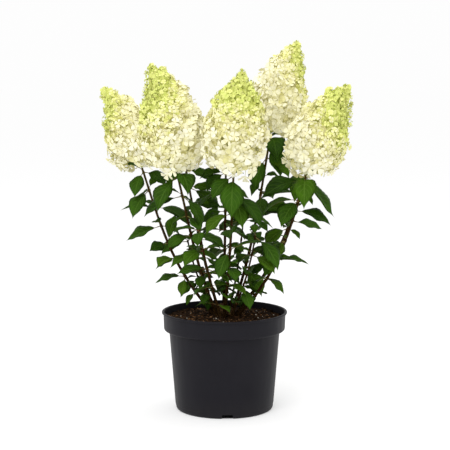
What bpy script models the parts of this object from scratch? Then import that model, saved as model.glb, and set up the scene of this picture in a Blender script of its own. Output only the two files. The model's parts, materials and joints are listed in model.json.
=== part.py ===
"""A panicle hydrangea in a round nursery pot: a plastic pot with a broad rim band, full of bark compost, old
woody stubs at the plant's foot, slender canes with opposite leaves, and a conical bloom on each tall cane.
Metres, +Z up, the origin at the centre of the pot's flat underside, the front along -Y."""

import math
import random

import bmesh
import bpy
from mathutils import Matrix, Vector
from mathutils.bvhtree import BVHTree

UP = Vector((0, 0, 1))
CLEAR = 0.0003  # between pieces that meet face to face
WELD = 0.00001  # points nearer than this are one
TURN = 48  # facets round the pot and the compost
SMOOTH_ANGLE = math.radians(32)  # edges sharper than this stay sharp

# The pot, outside sizes.
POT_HEIGHT = 0.205
RIM_RADIUS = 0.130
LIP_HEIGHT = 0.004
BAND_TOP_RADIUS = 0.1268
BAND_FOOT_RADIUS = 0.1255
BAND_FOOT_ROUND = 0.003
BAND_HEIGHT = 0.039
BODY_TOP_RADIUS = 0.1150
BODY_FOOT_RADIUS = 0.1020
FOOT_ROUND = 0.006
UNDERSIDE_RADIUS = 0.0985
WALL = 0.002
FLOOR = 0.0025
NOTCHES = 4
NOTCH_FOOT_WIDTH = 0.027
NOTCH_TOP_WIDTH = 0.021
NOTCH_HEIGHT = 0.009
NOTCH_CUTTER_DEPTH = 0.0204
FIRST_NOTCH = math.radians(-86.5)

# The compost that fills it.
SOIL_EDGE_HEIGHT = 0.190
SOIL_TOP = 0.1955
SOIL_FLAT_RADIUS = 0.040

# Old stubs between the canes: foot x, foot y, radius, height.
STUBS = {
    "stub_middle": (-0.003, 0.000, 0.0072, 0.024),
    "stub_front": (0.011, -0.009, 0.0060, 0.018),
    "stub_back": (0.003, 0.012, 0.0045, 0.020),
}
STUB_LEAN = math.radians(14)
STUB_SWELL = 1.12
STUB_ROUNDING = 0.35
STUB_BURIED = 0.004

# Canes and leafy shoots: foot x, foot y, top x, top y, top z, lean at the foot and at the top in degrees.
CANES = {
    "left": (-0.020, 0.002, -0.171, 0.030, 0.500, 44, 18),
    "front_left": (-0.014, -0.012, -0.096, -0.060, 0.499, 26, 15),
    "back_left": (-0.010, 0.014, -0.084, 0.120, 0.497, 30, 18),
    "front": (-0.001, -0.018, 0.018, -0.120, 0.505, 30, 10),
    "back": (-0.002, 0.023, 0.003, 0.076, 0.496, 14, 8),
    "tall": (0.014, 0.013, 0.097, 0.090, 0.565, 26, 13),
    "right": (0.027, -0.003, 0.167, -0.030, 0.489, 44, 17),
    "back_right": (0.025, 0.014, 0.176, 0.118, 0.488, 46, 18),
    "shoot_front_left": (-0.008, -0.027, -0.050, -0.085, 0.385, 22, 14),
    "shoot_front_right": (0.013, -0.023, 0.062, -0.075, 0.372, 30, 12),
    "shoot_back": (0.008, 0.030, 0.040, 0.060, 0.390, 20, 8),
    "shoot_back_left": (-0.022, 0.018, -0.078, 0.062, 0.345, 34, 16),
}
CANE_FOOT_RADIUS = 0.0036
CANE_TOP_RADIUS = 0.0023
SHOOT_THICKNESS = 0.72  # beside a flowering cane
FOOT_FLARE = 0.45
FLARE_HEIGHT = 0.012
BOW = 0.38  # how far each end's direction carries along the cane
BURIED = 0.008  # how far a limb is drawn below the compost before its foot is cut flat
CANE_SIDES = 8
STEM_SIDES = 6
CANE_SECTION = 0.012  # between rings of a cane, a stub, a leafy stem and a bloom's core
STUB_SECTION = 0.006
GUIDE_SECTION = 0.024
STEM_SECTION = 0.045
CORE_SECTION = 0.032

# Leaves: opposite pairs, each pair a quarter turn on from the last.
FIRST_PAIR = {
    "left": 0.062,
    "front_left": 0.058,
    "back_left": 0.050,
    "front": 0.046,
    "back": 0.052,
    "tall": 0.060,
    "right": 0.056,
    "back_right": 0.052,
    "shoot_front_left": 0.030,
    "shoot_front_right": 0.034,
    "shoot_back": 0.036,
    "shoot_back_left": 0.040,
}
PAIR_SPACING = 0.041
BARE_BELOW_PAIR = 0.014
BARE_BELOW_BLOOM = 0.010
BARE_SHOOT_TIP = 0.004
CROWN_DEPTH = 0.30  # the height over which leaves grow from their low size to their high one
LEAF_LENGTH_LOW = 0.056
LEAF_LENGTH_HIGH = 0.094
LENGTH_VARIES = (0.84, 1.12)
AZIMUTH_VARIES = 0.40  # radians to either side
RISE_AT_ROOT = (0, 38)  # degrees that a leaf's root rises from level
HIGH_LEAF_SAG = (6, 48)  # degrees less than that at the crown's top
BEND = (34, 68)  # degrees that the blade turns down from root to tip
ROLL_VARIES = 0.6  # radians to either side, about the midrib
SHOOT_LEAF = 0.88
STEEPEST_DROOP = math.radians(-86)
STALK = 0.17  # the stalk's share of the leaf's reach
STALK_HALF = 0.0011
STALK_LIFT = 0.6  # of its half width, from its middle to its flat top
BLADE_HALF = 0.31  # half the blade's greatest width over its length
BLADE_SECTIONS = ((0.38, 1.0), (0.72, 0.68))  # share along the blade, share of its half width
FOLD = math.radians(16)
KEEL = 0.0009
TRIES = ((0, 1.0), (22, 1.0), (-22, 1.0), (44, 0.9), (-44, 0.9), (0, 0.72), (34, 0.68), (-34, 0.68))
LEAF_CLEAR = 0.0009

# Blooms: tip x, tip y, tip z, greatest radius, and how far the bloom straightens up from its cane's lean.
BLOOMS = {
    "left": (-0.253, 0.034, 0.663, 0.055, 0.1),
    "front_left": (-0.149, -0.066, 0.714, 0.068, 1.1),
    "back_left": (-0.128, 0.150, 0.655, 0.048, 0.5),
    "front": (0.037, -0.128, 0.703, 0.067, 0.3),
    "back": (0.016, 0.086, 0.656, 0.050, 0.5),
    "tall": (0.158, 0.104, 0.760, 0.058, 0.1),
    "right": (0.254, -0.036, 0.670, 0.068, 0.3),
    "back_right": (0.222, 0.152, 0.622, 0.050, 0.5),
}
BLOOM_SPRING = 0.2  # the share of a bloom's length that keeps its cane's direction
BLOOM_RISE = 0.6  # the share that carries its straightened direction
BLOOM_START = 0.012  # bare stem under the bloom's core
BLOOM_STEM = 0.024  # the stem, sunk into the core
CORE_TIP_RADIUS = 0.0035
CORE_CLOSING = 0.5  # how much nearer the core comes to the outline at the tip
TAPER_POWER = 3.1
SKIRT = 0.45
SKIRT_REACH = 0.09
BLOSSOM_DEPTH = 0.014  # how far the blossoms stand out of the core
BLOSSOM_SPACING = 0.062
BLOSSOM_CROWDING = 0.55  # how much closer they sit at the tip
BLOSSOM_CORNERS = 6
BLOSSOM_WAIST = 0.80
BLOSSOM_LOW = 0.0215
BLOSSOM_HIGH = 0.0100
BLOSSOM_ROOT = 0.026
ROOT_LIMIT = 0.75  # of the bloom's radius there
BLOSSOM_SUNK = 0.002
LAST_BLOSSOM = 0.97  # shares of the bloom's axis
AXIS_END = 0.98
FACING_LOW = -0.25  # how far a blossom looks along the axis at the foot, and how much more at the tip
FACING_GAIN = 0.9
FACING_VARIES = 0.15
GOLDEN_TURN = math.pi * (3 - math.sqrt(5))
BLOSSOM_CLEAR = 1.05


def clear_scene():
    for ob in list(bpy.data.objects):
        bpy.data.objects.remove(ob, do_unlink=True)


def make_collection(name):
    group = bpy.data.collections.new(name)
    bpy.context.scene.collection.children.link(group)
    return group


def make_material(name, colour, roughness):
    mat = bpy.data.materials.new(name)
    mat.use_nodes = True
    shader = mat.node_tree.nodes["Principled BSDF"]
    shader.inputs["Base Color"].default_value = (*colour, 1.0)
    shader.inputs["Roughness"].default_value = roughness
    shader.inputs["Metallic"].default_value = 0.0
    mat.diffuse_color = (*colour, 1.0)
    return mat


clear_scene()
PLANT = make_collection("potted_hydrangea")
CUTTERS = make_collection("cutters")
PLASTIC = make_material("pot_plastic", (0.028, 0.029, 0.033), 0.55)
COMPOST = make_material("compost", (0.060, 0.036, 0.022), 0.95)
BARK = make_material("bark", (0.095, 0.038, 0.026), 0.70)
LEAF = make_material("leaf", (0.060, 0.130, 0.030), 0.50)
BLOSSOM = make_material("blossom", (0.780, 0.760, 0.480), 0.70)


def new_object(name, mesh, group, mat=None):
    ob = bpy.data.objects.new(name, mesh)
    group.objects.link(ob)
    if mat:
        ob.data.materials.clear()
        ob.data.materials.append(mat)
    return ob


def evaluated_mesh(ob):
    return bpy.data.meshes.new_from_object(ob.evaluated_get(bpy.context.evaluated_depsgraph_get()))


def remove_object(ob):
    data = ob.data
    bpy.data.objects.remove(ob, do_unlink=True)
    if isinstance(data, bpy.types.Mesh):
        bpy.data.meshes.remove(data)
    else:
        bpy.data.curves.remove(data)


def turned(name, profile, mat):
    """A solid turned about Z from (radius, height) points, its outer side running downwards."""
    mesh = bpy.data.meshes.new(name)
    verts = [(radius, 0.0, height) for radius, height in profile]
    mesh.from_pydata(verts, [(i, i + 1) for i in range(len(verts) - 1)], [])
    ob = new_object(name, mesh, PLANT, mat)
    screw = ob.modifiers.new("Turn", "SCREW")
    screw.steps = TURN
    screw.render_steps = TURN
    screw.use_merge_vertices = True
    screw.merge_threshold = WELD
    return ob


# ---- the pot and its compost ----


def build_pot():
    band_foot = POT_HEIGHT - BAND_HEIGHT
    profile = [
        (0.0, FLOOR),
        (UNDERSIDE_RADIUS - WALL, FLOOR),
        (BODY_TOP_RADIUS - WALL, band_foot + WALL),
        (BAND_FOOT_RADIUS - WALL, band_foot + WALL),
        (BAND_TOP_RADIUS - WALL, POT_HEIGHT),
        (RIM_RADIUS, POT_HEIGHT),
        (RIM_RADIUS, POT_HEIGHT - LIP_HEIGHT),
        (BAND_TOP_RADIUS, POT_HEIGHT - LIP_HEIGHT),
        (BAND_FOOT_RADIUS, band_foot + BAND_FOOT_ROUND),
        (BAND_FOOT_RADIUS - BAND_FOOT_ROUND, band_foot),
        (BODY_TOP_RADIUS, band_foot),
        (BODY_FOOT_RADIUS, FOOT_ROUND),
        (UNDERSIDE_RADIUS, 0.0),
        (0.0, 0.0),
    ]
    pot = turned("pot", profile, PLASTIC)
    for number in range(NOTCHES):
        cut = pot.modifiers.new(f"Notch {number + 1}", "BOOLEAN")
        cut.operation = "DIFFERENCE"
        cut.object = notch_cutter(number)
    return pot


def notch_cutter(number):
    """A drainage notch in the pot's foot: a wedge that is narrower at its top."""
    bm = bmesh.new()
    bmesh.ops.create_cube(bm, size=1.0)
    for vert in bm.verts:
        width = NOTCH_TOP_WIDTH if vert.co.z > 0 else NOTCH_FOOT_WIDTH
        height = NOTCH_HEIGHT if vert.co.z > 0 else -NOTCH_HEIGHT
        vert.co = (BODY_FOOT_RADIUS + vert.co.x * NOTCH_CUTTER_DEPTH, vert.co.y * width, height)
    mesh = bpy.data.meshes.new(f"notch_{number + 1}")
    bm.to_mesh(mesh)
    bm.free()
    cutter = new_object(f"notch_{number + 1}", mesh, CUTTERS)
    cutter.rotation_euler.z = FIRST_NOTCH + number * math.tau / NOTCHES
    cutter.hide_render = True
    cutter.display_type = "WIRE"
    return cutter


def build_compost():
    band_foot = POT_HEIGHT - BAND_HEIGHT
    edge_radius = BAND_FOOT_RADIUS - WALL - CLEAR
    profile = [
        (0.0, SOIL_TOP),
        (SOIL_FLAT_RADIUS, SOIL_TOP),
        (edge_radius, SOIL_EDGE_HEIGHT),
        (edge_radius, band_foot + WALL + CLEAR),
        (BODY_TOP_RADIUS - WALL - 2 * CLEAR, band_foot + WALL + CLEAR),
        (UNDERSIDE_RADIUS - WALL - 2 * CLEAR, FLOOR + CLEAR),
        (0.0, FLOOR + CLEAR),
    ]
    return turned("compost", profile, COMPOST)


# ---- limbs ----


def leaning(azimuth, lean):
    """The direction that leans from the vertical by an angle towards an azimuth."""
    return Vector((math.sin(lean) * math.cos(azimuth), math.sin(lean) * math.sin(azimuth), math.cos(lean)))


class Path:
    """A Bezier line in space, read by distance."""

    STEPS = 64

    def __init__(self, *corners):
        self.points = [self.at(corners, step / self.STEPS) for step in range(self.STEPS + 1)]
        self.marks = [0.0]
        for a, b in zip(self.points, self.points[1:]):
            self.marks.append(self.marks[-1] + (b - a).length)
        self.length = self.marks[-1]

    @staticmethod
    def at(corners, share):
        points = list(corners)
        while len(points) > 1:
            points = [a.lerp(b, share) for a, b in zip(points, points[1:])]
        return points[0]

    def read(self, distance):
        """The point and the direction at a distance along the line."""
        step = 0
        while step < self.STEPS - 1 and self.marks[step + 1] < distance:
            step += 1
        a, b = self.points[step], self.points[step + 1]
        share = (distance - self.marks[step]) / (b - a).length
        return a + (b - a) * share, (b - a).normalized()


def cane_path(name):
    foot_x, foot_y, top_x, top_y, top_z, foot_lean, top_lean = CANES[name]
    foot = Vector((foot_x, foot_y, SOIL_TOP))
    top = Vector((top_x, top_y, top_z))
    azimuth = math.atan2(top_y - foot_y, top_x - foot_x)
    carry = (top - foot).length * BOW
    out = leaning(azimuth, math.radians(foot_lean)) * carry
    back = leaning(azimuth, math.radians(top_lean)) * carry
    return Path(foot, foot + out, top - back, top)


def bloom_path(name):
    """A bloom's axis, from just above its cane's top to its own tip."""
    cane = cane_path(name)
    top, direction = cane.read(cane.length)
    start = top + direction * CLEAR
    tip = Vector(BLOOMS[name][:3])
    straightening = BLOOMS[name][4]
    length = (tip - start).length
    upward = direction.lerp(UP, straightening).normalized()
    spring = start + direction * length * BLOOM_SPRING
    return Path(start, spring, start + upward * length * BLOOM_RISE, tip)


def thickness(name, path, distance):
    """A cane's radius: an even taper, with a flare at the soil."""
    share = distance / path.length
    radius = CANE_FOOT_RADIUS + (CANE_TOP_RADIUS - CANE_FOOT_RADIUS) * share
    radius *= SHOOT_THICKNESS if name.startswith("shoot") else 1.0
    return radius * (1 + FOOT_FLARE * math.exp(-distance / FLARE_HEIGHT))


def tube(name, points, radii, sides, group, mat):
    """A round limb through points, with a radius at each: a bevelled curve made a mesh, its caps welded."""
    curve = bpy.data.curves.new(name, "CURVE")
    curve.dimensions = "3D"
    curve.bevel_depth = 1.0
    curve.bevel_resolution = (sides - 4) // 2
    curve.use_fill_caps = True
    spline = curve.splines.new("POLY")
    spline.points.add(len(points) - 1)
    for spot, point, radius in zip(spline.points, points, radii):
        spot.co = (*point, 1.0)
        spot.radius = radius
    guide = new_object(name + "_line", curve, group)
    mesh = evaluated_mesh(guide)
    mesh.name = name
    remove_object(guide)
    bm = bmesh.new()
    bm.from_mesh(mesh)
    bmesh.ops.remove_doubles(bm, verts=bm.verts, dist=WELD)
    bmesh.ops.recalc_face_normals(bm, faces=bm.faces)
    bm.to_mesh(mesh)
    bm.free()
    return new_object(name, mesh, group, mat)


def cut_flat(ob, height):
    """Cuts a limb level and drops what lies below."""
    bm = bmesh.new()
    bm.from_mesh(ob.data)
    everything = list(bm.verts) + list(bm.edges) + list(bm.faces)
    bmesh.ops.bisect_plane(
        bm, geom=everything, plane_co=(0, 0, height), plane_no=(0, 0, 1), clear_inner=True
    )
    open_edges = [edge for edge in bm.edges if edge.is_boundary]
    bmesh.ops.contextual_create(bm, geom=open_edges)
    bmesh.ops.recalc_face_normals(bm, faces=bm.faces)
    bm.to_mesh(ob.data)
    bm.free()


def limb(name, path, start, end, radius_at, group, mat, sides, spacing):
    """The stretch of a path between two distances as a tube."""
    count = max(2, round((end - start) / spacing))
    distances = [start + (end - start) * step / count for step in range(count + 1)]
    points = [path.read(distance)[0] for distance in distances]
    return tube(name, points, [radius_at(distance) for distance in distances], sides, group, mat)


def build_cane(name):
    """The bare foot of a cane, from a flat cut on the compost to below its first pair of leaves."""
    path = cane_path(name)
    end = FIRST_PAIR[name] - BARE_BELOW_PAIR
    cane = limb(
        f"cane_{name}", path, -BURIED, end, lambda d: thickness(name, path, max(d, 0.0)),
        PLANT, BARK, CANE_SIDES, CANE_SECTION,
    )
    cut_flat(cane, SOIL_TOP + CLEAR)


def build_stub(name):
    """The rounded stump of an old cane."""
    x, y, radius, height = STUBS[name]
    foot = Vector((x, y, SOIL_TOP))
    path = Path(foot, foot + leaning(math.atan2(y, x), STUB_LEAN) * height)

    def stub_radius(distance):
        return radius * (STUB_SWELL - STUB_ROUNDING * (distance / height) ** 2)

    stub = limb(name, path, -STUB_BURIED, height, stub_radius, PLANT, BARK, CANE_SIDES, STUB_SECTION)
    cut_flat(stub, SOIL_TOP + CLEAR)
    return stub


# ---- fused masses ----


def loft(name, rings, tip, group, mat):
    """A closed skin over rings of equally many points: the first ring is capped, the last meets a tip."""
    count = len(rings[0])
    verts = [point for ring in rings for point in ring] + [tip]
    faces = [tuple(range(count))]
    for level in range(len(rings) - 1):
        low, high = level * count, (level + 1) * count
        for i in range(count):
            j = (i + 1) % count
            faces.append((low + i, low + j, high + j, high + i))
    last = (len(rings) - 1) * count
    faces += [(last + i, last + (i + 1) % count, len(verts) - 1) for i in range(count)]
    mesh = bpy.data.meshes.new(name)
    mesh.from_pydata(verts, [], faces)
    bm = bmesh.new()
    bm.from_mesh(mesh)
    bmesh.ops.triangulate(bm, faces=bm.faces)
    bmesh.ops.recalc_face_normals(bm, faces=bm.faces)
    bm.to_mesh(mesh)
    bm.free()
    return new_object(name, mesh, group, mat)


def tree_of(ob):
    bm = bmesh.new()
    bm.from_mesh(ob.data)
    bm.transform(ob.matrix_world)
    tree = BVHTree.FromBMesh(bm)
    bm.free()
    return tree


def keep_main_shell(mesh):
    """Fills sealed hollows and drops scraps: only the shell with the most faces stays."""
    bm = bmesh.new()
    bm.from_mesh(mesh)
    shells, seen = [], set()
    for face in bm.faces:
        if face in seen:
            continue
        shell, edge_of_it = [], [face]
        seen.add(face)
        while edge_of_it:
            current = edge_of_it.pop()
            shell.append(current)
            for edge in current.edges:
                for other in edge.link_faces:
                    if other not in seen:
                        seen.add(other)
                        edge_of_it.append(other)
        shells.append(shell)
    shells.sort(key=len)
    for shell in shells[:-1]:
        bmesh.ops.delete(bm, geom=shell, context="FACES")
    bm.to_mesh(mesh)
    bm.free()


def fuse(body, pieces_group):
    """Joins a collection's objects onto a body with one Boolean union, and removes them."""
    union = body.modifiers.new("Join", "BOOLEAN")
    union.operation = "UNION"
    union.solver = "MANIFOLD"
    union.operand_type = "COLLECTION"
    union.collection = pieces_group
    joined = evaluated_mesh(body)
    body.modifiers.clear()
    body.data = joined
    for piece in list(pieces_group.objects):
        remove_object(piece)
    bpy.data.collections.remove(pieces_group)
    keep_main_shell(joined)


# ---- leaves ----


def leaf_plan(name):
    """Every leaf on a cane: its distance along it, azimuth, length, its slopes at the root and the tip, and
    how far the blade is turned about its midrib."""
    path = cane_path(name)
    dice = random.Random("leaves " + name)
    flowering = name in BLOOMS
    first = FIRST_PAIR[name]
    last = path.length - (BARE_BELOW_BLOOM if flowering else BARE_SHOOT_TIP)
    count = round((last - first) / PAIR_SPACING)
    turn = dice.uniform(0, math.pi)
    plan = []
    for pair in range(count + 1):
        distance = first + (last - first) * pair / count
        height = min(1.0, (path.read(distance)[0].z - SOIL_TOP) / CROWN_DEPTH)
        for half in (0, 1):
            azimuth = turn + pair * math.pi / 2 + half * math.pi
            azimuth += dice.uniform(-AZIMUTH_VARIES, AZIMUTH_VARIES)
            length = LEAF_LENGTH_LOW + (LEAF_LENGTH_HIGH - LEAF_LENGTH_LOW) * height
            length *= dice.uniform(*LENGTH_VARIES) * (1.0 if flowering else SHOOT_LEAF)
            rise = math.radians(dice.uniform(*RISE_AT_ROOT) - dice.uniform(*HIGH_LEAF_SAG) * height**2)
            droop = max(rise - math.radians(dice.uniform(*BEND)), STEEPEST_DROOP)
            roll = dice.uniform(-ROLL_VARIES, ROLL_VARIES)
            plan.append((distance, azimuth, length, rise, droop, roll))
    return plan


def midrib(root, azimuth, length, rise, droop, share):
    """The point and the frame (along, side, up) at a share of the way from a leaf's root to its tip."""
    outward = leaning(azimuth, math.pi / 2)
    bend = droop - rise
    slope = rise + bend * share
    out = length * (math.sin(slope) - math.sin(rise)) / bend
    high = length * (math.cos(rise) - math.cos(slope)) / bend
    along = outward * math.cos(slope) + UP * math.sin(slope)
    side = outward.cross(UP)
    return root + outward * out + UP * high, along, side, side.cross(along)


def leaf(name, root, azimuth, length, rise, droop, roll, swell, group):
    """One leaf: a three-sided stalk rooted in its cane, then a folded blade with a pointed tip. A swell
    makes a fatter copy, to try the leaf's room with."""
    half = length * (1 - STALK) * BLADE_HALF
    sections = [(0.0, STALK_HALF), (STALK, STALK_HALF)]
    sections += [(STALK + (1 - STALK) * share, half * width) for share, width in BLADE_SECTIONS]
    rings = []
    for share, width in sections:
        spot, along, side, up = midrib(root, azimuth, length, rise, droop, share)
        turn = Matrix.Rotation(-roll, 3, along)
        side = turn @ side
        up = turn @ up
        lift = max(width * math.tan(FOLD), STALK_HALF * STALK_LIFT) + swell
        wide = width + swell
        keel = spot - up * (KEEL + swell)
        rings.append([spot + side * wide + up * lift, spot - side * wide + up * lift, keel])
    tip = midrib(root, azimuth, length, rise, droop, 1.0)[0]
    return loft(name, rings, tip, group, LEAF)


def build_foliage(name, limbs, taken):
    """A cane's leafy length: the stem with its leaves fused on. A leaf turns aside or stays smaller where it
    would touch what is there, and is left out where that doesn't help."""
    path = cane_path(name)
    start = FIRST_PAIR[name] - BARE_BELOW_PAIR + CLEAR
    stem = limb(
        f"foliage_{name}", path, start, path.length, lambda d: thickness(name, path, d),
        PLANT, LEAF, STEM_SIDES, STEM_SECTION,
    )
    group = make_collection(f"leaves_{name}")
    others = [tree for key, tree in limbs.items() if key != name]
    grown = []
    for number, (distance, azimuth, length, rise, droop, roll) in enumerate(leaf_plan(name)):
        root, along = path.read(distance)
        label = f"leaf_{name}_{number}"
        for turn, size in TRIES:
            facing = azimuth + math.radians(turn)
            shape = (root, facing, length * size, rise, droop, roll)
            trial = leaf(label, *shape, LEAF_CLEAR, group)
            tree = tree_of(trial)
            free = not any(tree.overlap(other) for other in others + taken)
            remove_object(trial)
            if free:
                grown.append(leaf(label, *shape, 0.0, group))
                break
    trees = [tree_of(ob) for ob in grown]
    fuse(stem, group)
    return trees


# ---- blooms ----


def bloom_radius(name, share):
    """A bloom's outline round its axis: a rounded skirt, a long shoulder and a blunt point."""
    radius = BLOOMS[name][3] * (1 - share**TAPER_POWER)
    return radius * (1 - SKIRT * math.exp(-share / SKIRT_REACH))


def blossom(name, centre, facing, reach, spin, root, group):
    """A blossom of four petals: a lobed star drawn to a root deep in the core."""
    side = facing.orthogonal().normalized()
    side.rotate(Matrix.Rotation(spin, 3, facing))
    other = facing.cross(side)
    ring = []
    for corner in range(BLOSSOM_CORNERS):
        angle = corner * math.tau / BLOSSOM_CORNERS
        radius = reach if corner % 2 == 0 else reach * BLOSSOM_WAIST
        ring.append(centre + side * math.cos(angle) * radius + other * math.sin(angle) * radius)
    return loft(name, [ring], centre - facing * root, group, BLOSSOM)


def build_bloom(name, taken):
    """A conical bloom: its stem and core, with blossoms that stand out of it."""
    path = bloom_path(name)
    body = limb(
        f"bloom_{name}", path, 0.0, BLOOM_STEM, lambda d: CANE_TOP_RADIUS,
        PLANT, BLOSSOM, STEM_SIDES, BLOOM_START,
    )
    group = make_collection(f"blossoms_{name}")

    def core_radius(distance):
        share = (distance - BLOOM_START) / (path.length - BLOOM_START)
        return max(CORE_TIP_RADIUS, bloom_radius(name, share) - BLOSSOM_DEPTH * (1 - CORE_CLOSING * share))

    end = path.length - BLOSSOM_HIGH
    limb(f"core_{name}", path, BLOOM_START, end, core_radius, group, BLOSSOM, CANE_SIDES, CORE_SECTION)
    dice = random.Random("bloom " + name)
    share, number = 0.0, 0
    while share < LAST_BLOSSOM:
        radius = bloom_radius(name, share)
        spacing = BLOSSOM_SPACING * (1 - BLOSSOM_CROWDING * share)
        share += spacing**2 / (math.tau * radius * path.length)
        number += 1
        level = min(share, AXIS_END)
        centre_line, along = path.read(BLOOM_START + (path.length - BLOOM_START) * level)
        angle = number * GOLDEN_TURN
        side = along.orthogonal().normalized()
        side.rotate(Matrix.Rotation(angle, 3, along))
        lift = FACING_LOW + FACING_GAIN * share + dice.uniform(-FACING_VARIES, FACING_VARIES)
        facing = (side + along * lift).normalized()
        reach = BLOSSOM_LOW + (BLOSSOM_HIGH - BLOSSOM_LOW) * share
        centre = centre_line + side * (bloom_radius(name, level) - BLOSSOM_SUNK)
        spin = dice.uniform(0, math.pi / 2)
        root = min(BLOSSOM_ROOT, radius * ROOT_LIMIT)
        shape = (centre, facing, reach * BLOSSOM_CLEAR, spin, root)
        trial = blossom(f"trial_{name}", *shape, group)
        tree = tree_of(trial)
        remove_object(trial)
        if not any(tree.overlap(other) for other in taken):
            blossom(f"blossom_{name}_{number}", centre, facing, reach, spin, root, group)
    fuse(body, group)
    return body


# ---- the whole plant ----


def guide_tree(name):
    """The room that a whole cane takes, a little wider than the cane."""
    path = cane_path(name)
    guide = limb(
        f"guide_{name}", path, 0.0, path.length, lambda d: thickness(name, path, d) + LEAF_CLEAR,
        CUTTERS, BARK, STEM_SIDES, GUIDE_SECTION,
    )
    tree = tree_of(guide)
    remove_object(guide)
    return tree


def build():
    pot = build_pot()
    compost = build_compost()
    stubs = [build_stub(name) for name in STUBS]
    for name in CANES:
        build_cane(name)
    limbs = {name: guide_tree(name) for name in CANES}
    blooms = []
    for name in BLOOMS:
        blooms.append(build_bloom(name, list(limbs.values()) + [tree_of(bloom) for bloom in blooms]))
    depsgraph = bpy.context.evaluated_depsgraph_get()
    taken = [BVHTree.FromObject(ob, depsgraph) for ob in (pot, compost)]
    taken += [tree_of(ob) for ob in stubs + blooms]
    for name in CANES:
        taken += build_foliage(name, limbs, taken)
    for ob in PLANT.objects:
        ob.data.shade_smooth()
        ob.data.set_sharp_from_angle(angle=SMOOTH_ANGLE)


build()
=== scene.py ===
"""The looks of a panicle hydrangea in its nursery pot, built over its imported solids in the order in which
the plant is put together: pot, compost, old stubs, canes, leaves, then the blooms. Metres, +Z up, front
along -Y."""

import json
import math
import random

import bmesh
import bpy
from mathutils import Matrix, Quaternion, Vector, kdtree, noise

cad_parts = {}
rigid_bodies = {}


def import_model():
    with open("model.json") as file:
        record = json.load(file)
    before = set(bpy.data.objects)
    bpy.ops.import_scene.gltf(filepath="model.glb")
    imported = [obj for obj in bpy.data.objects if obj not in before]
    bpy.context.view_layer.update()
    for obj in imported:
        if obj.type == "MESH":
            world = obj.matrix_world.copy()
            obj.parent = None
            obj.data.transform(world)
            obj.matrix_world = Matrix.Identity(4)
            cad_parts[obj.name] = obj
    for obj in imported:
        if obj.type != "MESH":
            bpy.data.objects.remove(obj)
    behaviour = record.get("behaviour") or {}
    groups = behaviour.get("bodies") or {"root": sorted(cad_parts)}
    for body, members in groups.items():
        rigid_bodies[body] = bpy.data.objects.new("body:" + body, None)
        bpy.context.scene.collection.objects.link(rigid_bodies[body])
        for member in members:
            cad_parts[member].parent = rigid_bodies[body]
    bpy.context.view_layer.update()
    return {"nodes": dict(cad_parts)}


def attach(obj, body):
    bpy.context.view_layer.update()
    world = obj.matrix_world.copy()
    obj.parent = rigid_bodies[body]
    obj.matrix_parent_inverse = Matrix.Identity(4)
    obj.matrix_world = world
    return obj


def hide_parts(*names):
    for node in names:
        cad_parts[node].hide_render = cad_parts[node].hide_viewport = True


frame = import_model()
UP = Vector((0, 0, 1))
scene = bpy.context.scene

# ---- The studio ----
# A plain pale floor under an even white sky, with one broad soft lamp above the front left and a weaker one
# over the back right. The camera stands almost level with the blooms and looks slightly down on the pot.

CAMERA_PLACE = (0.0011, -2.8, 0.718)
CAMERA_DIP = math.radians(6.80)
CAMERA_LENS = 109.4
CAMERA_SENSOR = 36.0
SKY_LIGHT = 0.985
FLOOR_SIDE = 60.0
FLOOR_COLOUR = (0.63, 0.63, 0.63)
FLOOR_GLOW = 0.363
LAMPS = (  # place, side, power
    ((-0.8, -2.1, 2.6), 1.6, 38.0),
    ((0.4, 0.6, 2.9), 1.5, 18.0),
)
LAMP_AIM = Vector((0.0, 0.0, 0.42))


def add(tree, kind, inputs=(), **settings):
    """A node in a tree: its settings, and its inputs given as values or as other nodes' sockets."""
    made = tree.nodes.new(kind)
    for name, value in settings.items():
        setattr(made, name, value)
    for key, value in dict(inputs).items():
        if isinstance(value, bpy.types.NodeSocket):
            tree.links.new(value, made.inputs[key])
        else:
            made.inputs[key].default_value = value
    return made


def finish(name, colour, roughness, **shine):
    """A material with one Principled shader, and its tree and shader to pattern it with."""
    mat = bpy.data.materials.new(name)
    mat.use_nodes = True
    shader = mat.node_tree.nodes["Principled BSDF"]
    shader.inputs["Base Color"].default_value = (*colour, 1.0)
    shader.inputs["Roughness"].default_value = roughness
    for socket, value in shine.items():
        shader.inputs[socket.replace("_", " ")].default_value = value
    return mat, mat.node_tree, shader


def placed(name, mesh):
    ob = bpy.data.objects.new(name, mesh)
    scene.collection.objects.link(ob)
    return ob


camera = placed("camera", bpy.data.cameras.new("camera"))
camera.location = CAMERA_PLACE
camera.rotation_euler = (math.pi / 2 - CAMERA_DIP, 0.0, 0.0)
camera.data.lens = CAMERA_LENS
camera.data.sensor_width = CAMERA_SENSOR
scene.camera = camera
scene.view_settings.view_transform = "Standard"

world = bpy.data.worlds.new("studio_sky")
world.use_nodes = True
scene.world = world
sky = world.node_tree
sky.nodes.clear()
glow = add(sky, "ShaderNodeBackground", {"Color": (1.0, 1.0, 1.0, 1.0), "Strength": SKY_LIGHT})
add(sky, "ShaderNodeOutputWorld", {"Surface": glow.outputs[0]})

for number, (place, side, power) in enumerate(LAMPS):
    lamp = bpy.data.lights.new(f"soft_lamp_{number + 1}", "AREA")
    lamp.shape = "SQUARE"
    lamp.size = side
    lamp.energy = power
    holder = placed(lamp.name, lamp)
    holder.location = place
    holder.rotation_euler = (LAMP_AIM - Vector(place)).to_track_quat("-Z", "Y").to_euler()

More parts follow.
